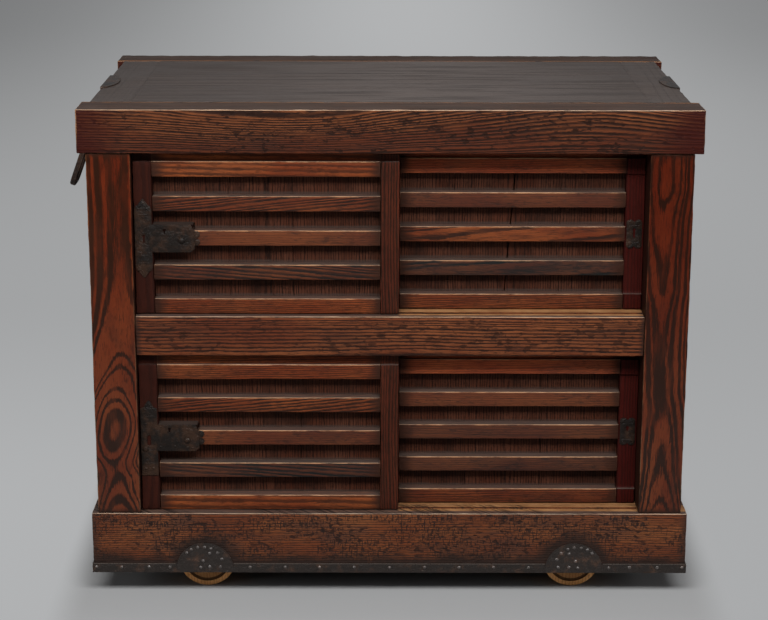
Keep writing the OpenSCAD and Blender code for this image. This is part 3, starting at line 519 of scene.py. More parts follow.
def top_sheen_and_streaks(flow, spots, facing, colour, nick):
    """Paler middle of the top, a painted sheen of reflected light, with a few darker streaks."""
    x, y, _ = spots
    # Painted sheen: the middle of the top is made paler, standing in for light reflected there
    aside = x - 0.07
    middle = (aside * aside * -8.0).math("EXPONENT") * 0.75
    colour = middle.blend(colour, (0.134, 0.108, 0.097))
    streak = flow.noise(flow.vector(x * 4.0, y * 60.0, 0.0), 1.0, 4.0, 0.6, 4.0)
    return (streak.fade(0.46, 0.62) * 0.7).blend(colour, (0.042, 0.031, 0.027))


def forged_iron(name, share=1.0, metal=0.35, specular=0.5, rust_from=0.50, top=None):
    """Black lacquered iron with hammer marks and a little rust.

    share darkens it, rust_from is where the rust starts in its noise and top the height of an edge given a
    painted highlight.
    """
    settings = bpy.context.scene.chest_iron
    iron, rust = shaded(settings.iron, share), shaded(settings.rust, share)
    material, flow = new_finish(name)
    place = flow.node("TexCoord", None, None, "Object")
    hammer = flow.noise(place, 110.0, 2.0, 0.5)
    grit = flow.noise(place, 420.0, 4.0, 0.6)
    stain = flow.noise(place, 35.0, 4.0, 0.65, 3.0)
    colour = stain.fade(rust_from, rust_from + 0.2).blend(iron, rust)
    colour = (grit.fade(0.55, 0.8) * 0.4).blend(colour, shaded(iron, 1.9))
    if top:
        # Painted highlight: a pale line along the top edge, where light catches it
        wear_and_highlight = place.parts()[2].fade(top - 1.6 * MM, top - 0.8 * MM) * grit.fade(0.35, 0.55, 0.4, 1.0)
        colour = (wear_and_highlight * 0.7).blend(colour, (0.105, 0.085, 0.072))
    shine = grit.fade(0.3, 0.7, 0.24, 0.45)
    close_finish(flow, colour, shine, hammer * 0.8 + grit * 0.5, 0.0026, metal=metal, specular=specular)
    return material


# Modelling helpers

def deselect():
    bpy.ops.object.select_all(action="DESELECT")


def activate(piece):
    """Makes a piece the only selected and the active one."""
    deselect()
    piece.select_set(True)
    bpy.context.view_layer.objects.active = piece


def settle():
    """Puts the selected pieces' places and turns into their meshes."""
    bpy.ops.object.transform_apply(location=True, rotation=True, scale=True)


def edit_all():
    """Opens the active piece in edit mode with all of it selected."""
    bpy.ops.object.mode_set(mode="EDIT")
    bpy.ops.mesh.select_all(action="SELECT")


def leave_edit():
    """Goes back to object mode."""
    bpy.ops.object.mode_set(mode="OBJECT")


def start_block(name, low, high):
    """A block that fills the space between two corners, to be shaped further."""
    deselect()
    low, high = Vector(low), Vector(high)
    bpy.ops.mesh.primitive_cube_add(size=1.0, location=(low + high) / 2)
    piece = bpy.context.object
    piece.name = name
    piece.scale = high - low
    settle()
    return piece


def pick_edges(piece, test):
    """In edit mode, selects the edges whose two ends pass the test."""
    bpy.ops.mesh.select_all(action="DESELECT")
    bpy.context.tool_settings.mesh_select_mode = (False, True, False)
    mesh = bmesh.from_edit_mesh(piece.data)
    for edge in mesh.edges:
        if test(edge.verts[0].co, edge.verts[1].co):
            edge.select_set(True)
    bmesh.update_edit_mesh(piece.data)


def apply_modifier(piece, kind, **settings):
    """Adds a modifier, sets it and applies it."""
    activate(piece)
    bpy.ops.object.modifier_add(type=kind)
    modifier = piece.modifiers[-1]
    for key, value in settings.items():
        setattr(modifier, key, value)
    bpy.ops.object.modifier_apply(modifier=modifier.name)


def volume(piece):
    """Volume inside a piece's surface."""
    mesh = bmesh.new()
    mesh.from_mesh(piece.data)
    amount = mesh.calc_volume(signed=True)
    mesh.free()
    return amount


def carve(piece, cutter):
    """Cuts one solid out of another."""
    before, cut = volume(piece), volume(cutter)
    apply_modifier(piece, "BOOLEAN", operation="DIFFERENCE", solver="EXACT", object=cutter)
    after = volume(piece)
    bpy.data.objects.remove(cutter)
    if not before - cut * 1.01 - 1e-9 <= after <= before * 1.0001:
        raise RuntimeError(f"{piece.name} lost its shape in a cut: {before:.6f} to {after:.6f} for {cut:.6f}")


def carve_block(piece, low, high):
    """Cuts a square-edged slot, groove or pocket."""
    carve(piece, start_block("cutter", low, high))


def join(name, pieces):
    """Joins pieces into one."""
    activate(pieces[0])
    for piece in pieces[1:]:
        piece.select_set(True)
    if len(pieces) > 1:
        bpy.ops.object.join()
    pieces[0].name = name
    return pieces[0]


def copy_to(piece, name, offset):
    """A copy with its own mesh, moved by an offset."""
    activate(piece)
    bpy.ops.object.duplicate(linked=False)
    twin = bpy.context.object
    twin.name = name
    twin.location = offset
    settle()
    return twin


def rub(piece, depth, size, contrast=1.0, group="", brightness=1.0):
    """Wears a surface back unevenly, by up to depth."""
    texture = bpy.data.textures.new("wear", "CLOUDS")
    texture.noise_scale = size
    texture.noise_depth = 2
    texture.contrast = contrast
    texture.intensity = brightness
    apply_modifier(piece, "DISPLACE", texture=texture, texture_coords="GLOBAL", direction="NORMAL",
                   mid_level=0.0, strength=-depth, vertex_group=group)
    bpy.data.textures.remove(texture)


def timber(name, low, high, step=0.010, ease=None, wear=None, slots=(), shape=None):
    """A squared timber with eased and unevenly worn arrises. shape is a function that cuts it further."""
    wood = bpy.context.scene.chest_wood
    ease = wood.ease if ease is None else ease
    wear = wood.arris_wear if wear is None else wear
    piece = start_block(name, low, high)
    size = Vector(high) - Vector(low)
    edit_all()
    bpy.ops.mesh.bevel(offset=ease, segments=3, affect="EDGES")
    for axis in range(3):
        cuts = min(int(size[axis] / step), 160)
        if cuts:
            others = [i for i in range(3) if i != axis]
            pick_edges(piece, lambda a, b: abs(a[axis] - b[axis]) > size[axis] * 0.5
                       and all(abs(a[i] - b[i]) < ease * 0.1 for i in others))
            bpy.ops.mesh.subdivide(number_cuts=cuts)
    leave_edit()
    group = piece.vertex_groups.new(name="arris")
    reach = ease * 1.05
    on_arris = [vertex.index for vertex in piece.data.vertices
                if sum(min(vertex.co[i] - low[i], high[i] - vertex.co[i]) < reach for i in range(3)) > 1]
    group.add(on_arris, 1.0, "REPLACE")
    for slot in slots:
        carve_block(piece, *slot)
    if shape:
        shape(piece)
    if wear:
        rub(piece, wear, 0.060, 1.6, "arris")
        rub(piece, wear, 0.016, 4.0, "arris", 0.60)
        rub(piece, 0.3 * MM, 0.040, 1.2)
    return piece


def finish_piece(piece, body, material, nodes):
    """Shades a piece, gives it its finish and sets it on its body."""
    piece.data.materials.clear()
    piece.data.materials.append(material)
    piece.vertex_groups.clear()
    activate(piece)
    bpy.ops.object.shade_smooth_by_angle(angle=math.radians(35))
    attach(piece, body)
    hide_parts(*nodes)


def cut_plate(name, outlines, face_y, thickness, ease=0.3 * MM):
    """A flat plate cut to an outline in X and Z; further outlines are holes. Its face looks along -Y."""
    deselect()
    bpy.ops.object.add(type="CURVE", location=(0, 0, 0))
    curve = bpy.context.object
    curve.name = name
    curve.data.dimensions = "2D"
    curve.data.fill_mode = "BOTH"
    curve.data.extrude = thickness / 2 - ease
    curve.data.bevel_depth = ease
    curve.data.bevel_resolution = 1
    curve.data.offset = -ease
    for outline in outlines:
        spline = curve.data.splines.new("POLY")
        spline.points.add(len(outline) - 1)
        for point, (x, z) in zip(spline.points, outline):
            point.co = (x, z, 0.0, 1.0)
        spline.use_cyclic_u = True
    curve.rotation_euler = (math.radians(90), 0, 0)
    curve.location = (0, face_y + thickness / 2, 0)
    activate(curve)
    bpy.ops.object.convert(target="MESH")
    settle()
    edit_all()
    bpy.ops.mesh.remove_doubles(threshold=0.01 * MM)
    bpy.ops.mesh.normals_make_consistent(inside=False)
    leave_edit()
    return bpy.context.object


def nail_head(radius, height):
    """A low dome on a face at y = 0 that looks along -Y, drawn at the origin."""
    deselect()
    bpy.ops.mesh.primitive_uv_sphere_add(segments=12, ring_count=8, radius=1.0)
    nail = bpy.context.object
    nail.rotation_euler = (math.radians(90), 0, 0)
    nail.scale = (radius, radius, height)
    settle()
    edit_all()
    bpy.ops.mesh.bisect(plane_co=(0, height * 0.15, 0), plane_no=(0, 1, 0), clear_outer=True, use_fill=True)
    leave_edit()
    return nail


def nails_at(name, places, radius, height):
    """Like nails with their heads at the places given, each a copy of the first."""
    first = nail_head(radius, height)
    copies = [copy_to(first, f"{name}_{i}", place) for i, place in enumerate(places)]
    bpy.data.objects.remove(first)
    return join(name, copies)


def ridge(points, y, radius):
    """A low raised line on a plate through points in X and Z, such as a chased border."""
    deselect()
    bpy.ops.object.add(type="CURVE", location=(0, 0, 0))
    curve = bpy.context.object
    curve.name = "ridge"
    curve.data.dimensions = "3D"
    curve.data.bevel_depth = radius
    curve.data.bevel_resolution = 1
    curve.data.use_fill_caps = True
    spline = curve.data.splines.new("POLY")
    spline.points.add(len(points) - 1)
    for point, (x, z) in zip(spline.points, points):
        point.co = (x, y, z, 1.0)
    activate(curve)
    bpy.ops.object.convert(target="MESH")
    return bpy.context.object


def on_face(places, face):
    """Places in X and Z, in millimetres, set on a face."""
    return [(x * MM, face, z * MM) for x, z in places]


def dress(names, material):
    """Gives CAD nodes a finish."""
    for name in names:
        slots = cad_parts[name].material_slots
        for slot in slots:
            slot.material = material
        if not slots:
            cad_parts[name].data.materials.append(material)


def corners(name):
    """Lowest and highest corner of a node, as plain tuples."""
    low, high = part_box(name)
    return tuple(low), tuple(high)


# Pieces

CARCASS = "carcass"
# The posts' grain: the pith's (height, across, depth behind the face), then each dark ring's (radius, width)
LEFT_FIGURE = (
    ((0.166, -0.504, 0.034), (0.181, -0.504, 0.0374), (0.196, -0.505, 0.0415), (0.212, -0.505, 0.0445),
     (0.236, -0.502, 0.0472), (0.252, -0.509, 0.0488), (0.265, -0.514, 0.0475), (0.277, -0.516, 0.0450),
     (0.307, -0.512, 0.0378), (0.328, -0.508, 0.0370), (0.357, -0.505, 0.0388), (0.384, -0.506, 0.0470),
     (0.407, -0.503, 0.0525), (0.429, -0.496, 0.0560), (0.448, -0.493, 0.0603), (0.475, -0.493, 0.0642),
     (0.505, -0.493, 0.0692), (0.535, -0.492, 0.0742), (0.579, -0.492, 0.0784), (0.622, -0.491, 0.0796),
     (0.685, -0.490, 0.0798), (0.750, -0.490, 0.0801), (0.850, -0.492, 0.0796)),
    ((0.0405, 0.0030), (0.0472, 0.0014), (0.0525, 0.0010), (0.0603, 0.0010), (0.0640, 0.0009),
     (0.0809, 0.0015), (0.0865, 0.0030), (0.0933, 0.0026), (0.1000, 0.0030)))
RIGHT_FIGURE = (
    ((0.166, 0.506, 0.0585), (0.190, 0.506, 0.0608), (0.214, 0.505, 0.0624), (0.239, 0.504, 0.0642),
     (0.259, 0.504, 0.0649), (0.294, 0.504, 0.0655), (0.306, 0.504, 0.0658), (0.345, 0.503, 0.0671),
     (0.374, 0.502, 0.0686), (0.400, 0.497, 0.0686), (0.484, 0.494, 0.0686), (0.500, 0.494, 0.0684),
     (0.541, 0.494, 0.0677), (0.575, 0.495, 0.0667), (0.593, 0.495, 0.0654), (0.650, 0.493, 0.0645),
     (0.692, 0.492, 0.0631), (0.729, 0.492, 0.0625), (0.757, 0.493, 0.0611), (0.772, 0.494, 0.0602),
     (0.788, 0.495, 0.0593), (0.850, 0.494, 0.0603)),
    ((0.0610, 0.0007), (0.0650, 0.0009), (0.0687, 0.0011), (0.0717, 0.0016), (0.0773, 0.0016),
     (0.0815, 0.0012), (0.0850, 0.0016)))
DOORS = [(row, side) for row in ("upper", "lower") for side in ("left", "right")]
TONGUE_SET = 9 * MM
TONGUE_THICK = 10 * MM
TONGUE_SIDE = 0.75 * MM
HEAD_GROOVE = 15 * MM
FOOT_GROOVE = 3.3 * MM
LEDGE = 10 * MM
MORTISE = 14 * MM
NOTCH_RADIUS = 12.3 * MM
RAIL_HEIGHT = 28.6 * MM
STILE_WIDTH = 34 * MM
SLATS = 5
PANEL_SEAMS = {"upper_left": (-0.2930, -0.2130, -0.1760), "upper_right": (0.1180, 0.3120),
               "lower_left": (-0.3010, -0.1650), "lower_right": (0.1420, 0.2860)}
# A place on the board that has split, then the split's middle and its width in millimetres from the top down
SPLIT_X = 0.22
SPLIT_RUN = ((0.2282, 2.6), (0.2262, 2.8), (0.2203, 2.2), (0.2156, 2.4), (0.2095, 1.6))
PLATE_THICK = 1.5 * MM
# Each look's brightness, then the strength, slope and spread of its lines, and its redness; the red look's
# high brightness is painted light
LOOKS = {"bright": (1.12, 0.75, 0.020, 1.9, 0.0), "sloped": (0.78, 1.0, -0.105, 1.35, 0.05),
         "lively": (1.00, 0.95, -0.095, 1.25, 0.0), "falling": (0.54, 0.95, 0.085, 1.3, 0.10),
         "plain": (0.66, 0.32, -0.010, 0.8, 0.0), "dull": (0.52, 0.45, -0.004, 0.7, 0.0),
         "fine": (1.00, 0.75, -0.020, 0.75, 0.15), "dusky": (0.56, 0.95, -0.080, 1.2, 0.0),
         "red": (1.90, 0.50, -0.015, 0.9, 0.45)}
# Look and brightness of each slat, from the lowest up
SLAT_LOOKS = {"upper_left": ("fine", "falling", "plain", "sloped", "bright"),
              "upper_right": ("fine", "dusky", "lively", "plain", "red"),
              "lower_left": ("bright", "falling", "plain", "sloped", "fine"),
              "lower_right": ("fine", "dull", "dull", "plain", "red")}
# The top slats of the right doors are painted brighter, as light, for they lie in the shade of the beam or
# rail above them
SLAT_SHARES = {"upper_left": (1.06, 1.0, 0.97, 0.98, 0.96), "upper_right": (0.90, 0.67, 0.85, 0.83, 1.18),
               "lower_left": (0.92, 0.77, 0.95, 1.12, 1.05), "lower_right": (0.84, 0.86, 0.89, 0.90, 1.40)}
# Places along the top beams and the lift of the grain lines there
BEAM_BEND = ((-0.560, 0.0), (-0.424, -0.004), (-0.330, -0.014), (-0.219, -0.023), (-0.150, -0.022),
             (-0.084, -0.018), (-0.032, -0.008), (0.029, 0.003), (0.118, 0.012), (0.208, 0.021),
             (0.279, 0.030), (0.369, 0.034), (0.458, 0.030), (0.560, 0.016))


def tongue_groove(door, z_low, z_high):
    """Corners of the groove that a door's tongue runs in."""
    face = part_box(door + "_stiles")[0].y
    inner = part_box("post_front_right")[0].x
    return ((-inner, face + TONGUE_SET - TONGUE_SIDE, z_low),
            (inner, face + TONGUE_SET + TONGUE_THICK + TONGUE_SIDE, z_high))


class CHEST_OT_top_frame(bpy.types.Operator):
    """Adds the front and back top beams and the rails between them."""

    bl_idname = "chest.top_frame"
    bl_label = "Top frame"

    def execute(self, context):
        boards_low, boards_high = corners("top_boards")
        for name, seed in (("top_front_beam", 2.0), ("top_back_beam", 3.3)):
            low, high = corners(name)
            front = low[1] < 0
            inner = boards_low[1] if front else boards_high[1]
            low = (low[0], low[1] if front else inner, low[2])
            high = (high[0], inner if front else high[1], high[2])
            slots = []
            if front:
                slots = [tongue_groove(door, low[2] - MM, low[2] + HEAD_GROOVE)
                         for door in ("upper_left", "upper_right")]
            beam = timber(name + "_timber", low, high, slots=slots)
            near, far = sorted((inner - (MM if front else -MM), inner + (LEDGE if front else -LEDGE)))
            ledge = start_block("ledge", (boards_low[0] + LEDGE, near, low[2]),
                                (boards_high[0] - LEDGE, far, boards_low[2]))
            beam = join(name + "_timber", [beam, ledge])
            pith = high[2] + 22 * MM, low[1] - 30 * MM
            finish = ring_wood(name + "_wood", "X", pith, 4.4 * MM, 0.66, seed, (low, high), beam_tones(1.03),
                               scuff=0.9, wobble=0.0022, bend=BEAM_BEND, rise=0.22, red_ends=0.10,
                               arris_light=0.95 if front else 0.35, dust=0.86, extra=beam_top)
            finish_piece(beam, CARCASS, finish, [name])
        low, high = corners("top_side_rails")
        rails = []
        for sign in (-1, 1):
            near, far = sorted((sign * boards_high[0], sign * high[0]))
            rail = timber("side_rail", (near, boards_low[1], low[2]), (far, boards_high[1], high[2]),
                          ease=0.8 * MM)
            near, far = sorted((sign * (boards_high[0] - LEDGE), sign * (boards_high[0] + MM)))
            ledge = start_block("ledge", (near, boards_low[1], low[2]), (far, boards_high[1], boards_low[2]))
            rails.append(join("rail", [rail, ledge]))
        finish = ring_wood("top_side_wood", "Y", (1.05, 0.45), 8 * MM, 0.12, 55.0, tones=TOP_TONES,
                           specular=0.25, dust=0.3, extra=top_sheen_and_streaks)
        finish_piece(join("top_side_timbers", rails), CARCASS, finish,
                     ["top_side_rails"])
        return {"FINISHED"}


class CHEST_OT_posts(bpy.types.Operator):
    """Adds the four corner posts, with the lock bolts' mortises in the front ones."""

    bl_idname = "chest.posts"
    bl_label = "Corner posts"

    def execute(self, context):
        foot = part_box("base_front_beam")[1].z
        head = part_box("top_side_rails")[0].z
        for place, seed, figure in (("front_left", 5.0, LEFT_FIGURE), ("front_right", 9.0, RIGHT_FIGURE),
                                    ("back_left", 12.0, None), ("back_right", 15.0, None)):
            low, high = corners("post_" + place)
            low, high = (low[0], low[1], foot), (high[0], high[1], head)
            slots = []
            if place.startswith("front"):
                side = place.split("_")[1]
                for row in ("upper", "lower"):
                    a, b = corners(f"{row}_{side}_bolt")
                    face, inwards = (high[0], -1) if side == "left" else (low[0], 1)
                    near, far = sorted((face - inwards * MM, face + inwards * MORTISE))
                    slots.append(((near, a[1] - MM, a[2] - MM), (far, b[1] + MM, b[2] + MM)))
            post = timber(f"post_{place}_timber", low, high, slots=slots)
            pith = ((low[0] + high[0]) / 2, low[1] * 0.6)
            finish = ring_wood(f"post_{place}_wood", "Z", pith, 9 * MM, 0.42, seed, (low, high), post_tones(),
                               figure=figure, dark_ends=0.012, wobble=0.0022, arris_light=0.3, haze=0.6,
                               extra=post_shade)
            finish_piece(post, CARCASS, finish, ["post_" + place])
        return {"FINISHED"}


class CHEST_OT_middle_rails(bpy.types.Operator):
    """Adds the middle rails with their door grooves and the ledges of the shelf."""

    bl_idname = "chest.middle_rails"
    bl_label = "Middle rails"

    def execute(self, context):
        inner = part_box("post_front_right")[0].x
        shelf_low, shelf_high = corners("shelf_boards")
        for name, seed in (("mid_rail_front", 21.0), ("mid_rail_back", 24.0)):
            low, high = corners(name)
            low, high = (-inner, low[1], low[2]), (inner, high[1], high[2])
            if name.endswith("front"):
                slots = [((-inner - MM, shelf_low[1], shelf_low[2]),
                          (inner + MM, high[1] + MM, high[2] + MM))]
                for side in ("left", "right"):
                    slots.append(tongue_groove(f"upper_{side}", high[2] - FOOT_GROOVE, high[2] + MM))
                    slots.append(tongue_groove(f"lower_{side}", low[2] - MM, low[2] + HEAD_GROOVE))
            else:
                slots = [((-inner - MM, low[1] - MM, shelf_low[2]),
                          (inner + MM, shelf_high[1], high[2] + MM))]
            rail = timber(name + "_timber", low, high, slots=slots)
            finish = ring_wood(name + "_wood", "X", (0.43, low[1] - 60 * MM), 5.2 * MM, 0.5, seed,
                               (low, high), beam_tones(1.25), scuff=0.7, dark_ends=0.014, wobble=0.003,
                               extra=bare_track if name.endswith("front") else None)
            finish_piece(rail, CARCASS, finish, [name])
        low, high = corners("mid_side_rails")
        rails = []
        for sign in (-1, 1):
            near, far = sorted((sign * inner, sign * high[0]))
            rails.append(timber("side", (near, low[1], low[2]), (far, high[1], high[2])))
            near, far = sorted((sign * (inner - LEDGE), sign * (inner + MM)))
            rails.append(start_block("ledge", (near, shelf_low[1] + LEDGE, low[2]),
                                     (far, shelf_high[1] - LEDGE, shelf_low[2])))
        finish = ring_wood("mid_side_wood", "Y", (0.6, 0.45), 6 * MM, 0.4, 41.0)
        finish_piece(join("mid_side_timbers", rails), CARCASS, finish,
                     ["mid_side_rails"])
        return {"FINISHED"}


class CHEST_OT_base(bpy.types.Operator):
    """Adds the base beams, notched underneath for the axles."""

    bl_idname = "chest.base"
    bl_label = "Base"

    def execute(self, context):
        floor_low, floor_high = corners("floor_boards")
        for name, seed in (("base_front_beam", 31.0), ("base_back_beam", 34.0)):
            low, high = corners(name)
            if name.startswith("base_front"):
                slots = [tongue_groove("lower_left", high[2] - FOOT_GROOVE, high[2] + MM)]
            else:
                slots = [((floor_low[0], low[1] - MM, floor_low[2]),
                          (floor_high[0], floor_high[1], high[2] + MM))]
            beam = timber(name + "_timber", low, high, slots=slots,
                          shape=lambda piece, low=low, high=high: self.cut_notches(piece, low, high))
            finish = ring_wood(name + "_wood", "X", (0.33, low[1] - 50 * MM), 4.2 * MM, 0.42, seed,
                               (low, high), BASE_TONES, scuff=1.0, dark_ends=0.02, wobble=0.003, haze=0.8,
                               extra=base_stain)
            finish_piece(beam, CARCASS, finish, [name])
        low, high = corners("base_front_beam")
        inner_x, inner_y = high[0] - (high[1] - low[1]), -high[1]
        ends = []
        for sign in (-1, 1):
            near, far = sorted((sign * inner_x, sign * high[0]))
            slot_near, slot_far = sorted((sign * (inner_x - MM), sign * floor_high[0]))
            slot = (slot_near, floor_low[1], floor_low[2]), (slot_far, inner_y + MM, high[2] + MM)
            ends.append(timber("end", (near, -inner_y, low[2]), (far, inner_y, high[2]), slots=[slot]))
        finish = ring_wood("base_end_wood", "Y", (0.4, 0.45), 5 * MM, 0.45, 37.0, scuff=0.8)
        finish_piece(join("base_end_timbers", ends), CARCASS, finish,
                     ["base_end_beams"])
        return {"FINISHED"}

    def cut_notches(self, beam, low, high):
        """Cuts the blind notches that the axles' journals turn in, open underneath."""
        for side in ("left", "right"):
            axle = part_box("axle_" + side)
            x = (axle[0].x + axle[1].x) / 2
            z = (axle[0].z + axle[1].z) / 2
            front = low[1] < 0
            inner, blind = (high[1] + MM, axle[0].y - MM) if front else (low[1] - MM, axle[1].y + MM)
            deselect()
            bpy.ops.mesh.primitive_cylinder_add(vertices=48, radius=NOTCH_RADIUS, depth=abs(inner - blind),
                                                location=(x, (inner + blind) / 2, z),
                                                rotation=(math.pi / 2, 0, 0))
            cutter = bpy.context.object
            settle()
            carve(beam, cutter)
            y0, y1 = sorted((inner, blind))
            carve_block(beam, (x - NOTCH_RADIUS, y0, low[2] - MM), (x + NOTCH_RADIUS, y1, z))


class CHEST_OT_door_slats(bpy.types.Operator):
    """Adds each door's five slats and the tongues that run in the grooves."""

    bl_idname = "chest.door_slats"
    bl_label = "Door slats"

    def execute(self, context):
        for number, (row, side) in enumerate(DOORS):
            door = f"{row}_{side}"
            panel_low, panel_high = corners(door + "_panel")
            rails_low, rails_high = corners(door + "_rails")
            pitch = (panel_high[2] - panel_low[2] - RAIL_HEIGHT) / (SLATS - 1)
            first = start_slat(door, (panel_low[0], rails_low[1], panel_low[2]),
                               (panel_high[0], panel_low[1], panel_low[2] + RAIL_HEIGHT))
            slats = []
            for i in range(SLATS):
                if side == "left" and i == SLATS // 2:
                    box_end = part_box(door + "_lock_block")[1].x
                    slat = start_slat(door, (box_end, rails_low[1], panel_low[2] + i * pitch),
                                      (panel_high[0], panel_low[1], panel_low[2] + i * pitch + RAIL_HEIGHT))
                else:
                    slat = copy_to(first, "slat", (0, 0, i * pitch))
                mark_and_rub(slat)
                slats.append(slat)
            bpy.data.objects.remove(first)
            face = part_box(door + "_stiles")[0].y
            y0, y1 = face + TONGUE_SET, face + TONGUE_SET + TONGUE_THICK
            slats.append(start_block("head", (panel_low[0], y0, panel_high[2] - 2 * MM),
                                     (panel_high[0], y1, rails_high[2])))
            slats.append(start_block("foot", (panel_low[0], y0, rails_low[2]),
                                     (panel_high[0], y1, panel_low[2] + 2 * MM)))
            finish = slat_wood(door, number, (panel_low[0], rails_low[1], panel_low[2]),
                               (panel_high[0], panel_low[1], panel_low[2] + RAIL_HEIGHT), pitch)
            finish_piece(join(door + "_slats", slats), door + "_door", finish,
                         [door + "_rails"])
        return {"FINISHED"}


def start_slat(door, low, high):
    """One slat, eased and cut along its length, not yet worn."""
    return timber(door + "_slat", low, high, step=0.011, ease=1.1 * MM, wear=0.0)


def mark_and_rub(slat):
    """Wears a slat's arrises where it lies, so that no two are alike."""
    spots = [vertex.co for vertex in slat.data.vertices]
    low = [min(spot[i] for spot in spots) for i in range(3)]
    high = [max(spot[i] for spot in spots) for i in range(3)]
    slat.vertex_groups.clear()
    group = slat.vertex_groups.new(name="arris")
    group.add([vertex.index for vertex in slat.data.vertices
               if sum(min(vertex.co[i] - low[i], high[i] - vertex.co[i]) < 1.2 * MM for i in range(3)) > 1],
              1.0, "REPLACE")
    rub(slat, 0.5 * MM, 0.03, 2.0, "arris")


def slat_wood(door, number, low, high, pitch):
    """Finish of a door's slats, each with its own figure."""
    looks = [(LOOKS[look][0] * share, *LOOKS[look][1:])
             for look, share in zip(SLAT_LOOKS[door], SLAT_SHARES[door])]
    return ring_wood(door + "_slat_wood", "X", (low[2] + RAIL_HEIGHT / 2, low[1] - 30 * MM), 4.4 * MM, 0.58,
                     100.0 + 7 * number, (low, high), wiped_tones(1.05), repeat=(low[2], pitch),
                     dark_ends=0.032, scuff=0.35, wobble=0.0030, looks=looks)


class CHEST_OT_door_panels(bpy.types.Operator):
    """Adds the thin upright boards behind the slats, one of them split in the upper right door."""

    bl_idname = "chest.door_panels"
    bl_label = "Door panels"

    def execute(self, context):
        for number, (row, side) in enumerate(DOORS):
            door = f"{row}_{side}"
            low, high = corners(door + "_panel")
            places = (low[0], *PANEL_SEAMS[door], high[0])
            boards = []
            for start, end in zip(places, places[1:]):
                split = None
                if door == "upper_right" and start < SPLIT_X < end:
                    split = self.split
                boards.append(timber("board", (start, low[1], low[2]), (end, high[1], high[2]), step=0.03,
                                     ease=0.7 * MM, wear=0.3 * MM, shape=split))
            pith = (low[0] + high[0]) / 2, low[1] - 12 * MM
            finish = ring_wood(door + "_panel_wood", "Z", pith, 4.8 * MM, 0.32, 111.0 + 5 * number,
                               tones=PANEL_TONES, scuff=0.3, haze=0.8, dust=0.4, extra=dusty_foot)
            finish_piece(join(door + "_boards", boards), door + "_door", finish,
                         [door + "_panel"])
        return {"FINISHED"}

    def split(self, board):
        """Opens the slanted split that has come into one board."""
        low, high = corners("upper_right_panel")
        heights = (high[2] + MM, 0.7600, 0.7000, 0.6350, low[2] - MM)
        run = [(x, z, width * MM / 2) for (x, width), z in zip(SPLIT_RUN, heights)]
        outline = [(x + half, z) for x, z, half in run] + [(x - half, z) for x, z, half in reversed(run)]
        carve(board, cut_plate("split", [outline], low[1] - MM, high[1] - low[1] + 2 * MM, 0.0))


class CHEST_OT_door_stiles(bpy.types.Operator):
    """Adds the doors' stiles, with a finger scoop in the outer ones of the right doors."""

    bl_idname = "chest.door_stiles"
    bl_label = "Door stiles"

    def execute(self, context):
        for number, (row, side) in enumerate(DOORS):
            door = f"{row}_{side}"
            low, high = corners(door + "_stiles")
            panel_low, panel_high = corners(door + "_panel")
            bolt_low, bolt_high = corners(door + "_bolt")
            gap = 0.3 * MM
            parts = []
            for left_edge in (True, False):
                x0 = low[0] if left_edge else high[0] - STILE_WIDTH
                outer = left_edge == (side == "left")
                slots = []
                if outer:
                    start, end = ((bolt_low[0] - gap, high[0] + MM) if side == "right"
                                  else (low[0] - MM, x0 + STILE_WIDTH + MM))
                    slots.append(((start, bolt_low[1] - gap, bolt_low[2] - gap),
                                  (end, bolt_high[1] + gap, bolt_high[2] + gap)))
                shape = None
                if outer and side == "right":
                    def shape(piece, x0=x0, face=low[1], z0=panel_low[2], z1=panel_high[2]):
                        self.scoop(piece, x0, face, z0 + RAIL_HEIGHT, z1 - RAIL_HEIGHT)
                x1 = x0 + STILE_WIDTH
                parts.append(timber("stile", (x0, low[1], panel_low[2]), (x1, panel_high[1], panel_high[2]),
                                    ease=1.3 * MM, wear=0.9 * MM, slots=slots, shape=shape))
                y0, y1 = low[1] + TONGUE_SET, low[1] + TONGUE_SET + TONGUE_THICK
                parts.append(start_block("head", (x0, y0, panel_high[2] - 2 * MM), (x1, y1, high[2])))
                parts.append(start_block("foot", (x0, y0, low[2]), (x1, y1, panel_low[2] + 2 * MM)))
            tones, stile_tint = (DARK_TONES, darker_lock_stile) if side == "left" else (RED_TONES, None)
            finish = ring_wood(door + "_stile_wood", "Z", (low[0] + 5 * MM, low[1] - 30 * MM), 5.8 * MM, 0.5,
                               90.0 + 3 * number, tones=tones, scuff=0.3, extra=stile_tint)
            finish_piece(join(door + "_stile_pair", parts), door + "_door", finish,
                         [door + "_stiles"])
        return {"FINISHED"}

    def scoop(self, stile, x0, face, z_low, z_high):
        """Hollows the stile's face between the top and bottom slats, coved at both ends."""
        depth = 5 * MM
        cove = 9 * MM
        cutter = start_block("cutter", (x0 - MM, face - 2 * cove, z_low),
                             (x0 + STILE_WIDTH + MM, face + depth, z_high))
        bpy.ops.object.mode_set(mode="EDIT")
        pick_edges(cutter, lambda a, b: a.y > face and b.y > face and abs(a.x - b.x) > cove)
        bpy.ops.mesh.bevel(offset=cove * 0.6, segments=6, affect="EDGES")
        leave_edit()
        carve(stile, cutter)


def arc(x, z, radius, start, end, steps=10):
    """Points on an arc in X and Z, from one angle in degrees to another."""
    turns = [math.radians(start + (end - start) * i / steps) for i in range(steps + 1)]
    return [(x + radius * math.cos(turn), z + radius * math.sin(turn)) for turn in turns]


def keyhole(x, z, radius, width, length):
    """Outline of a keyhole: a round hole over a slot."""
    half = width / 2
    tilt = math.degrees(math.asin(half / radius))
    return arc(x, z, radius, -90 + tilt, 270 - tilt, 14) + [(x - half, z - length), (x + half, z - length)]


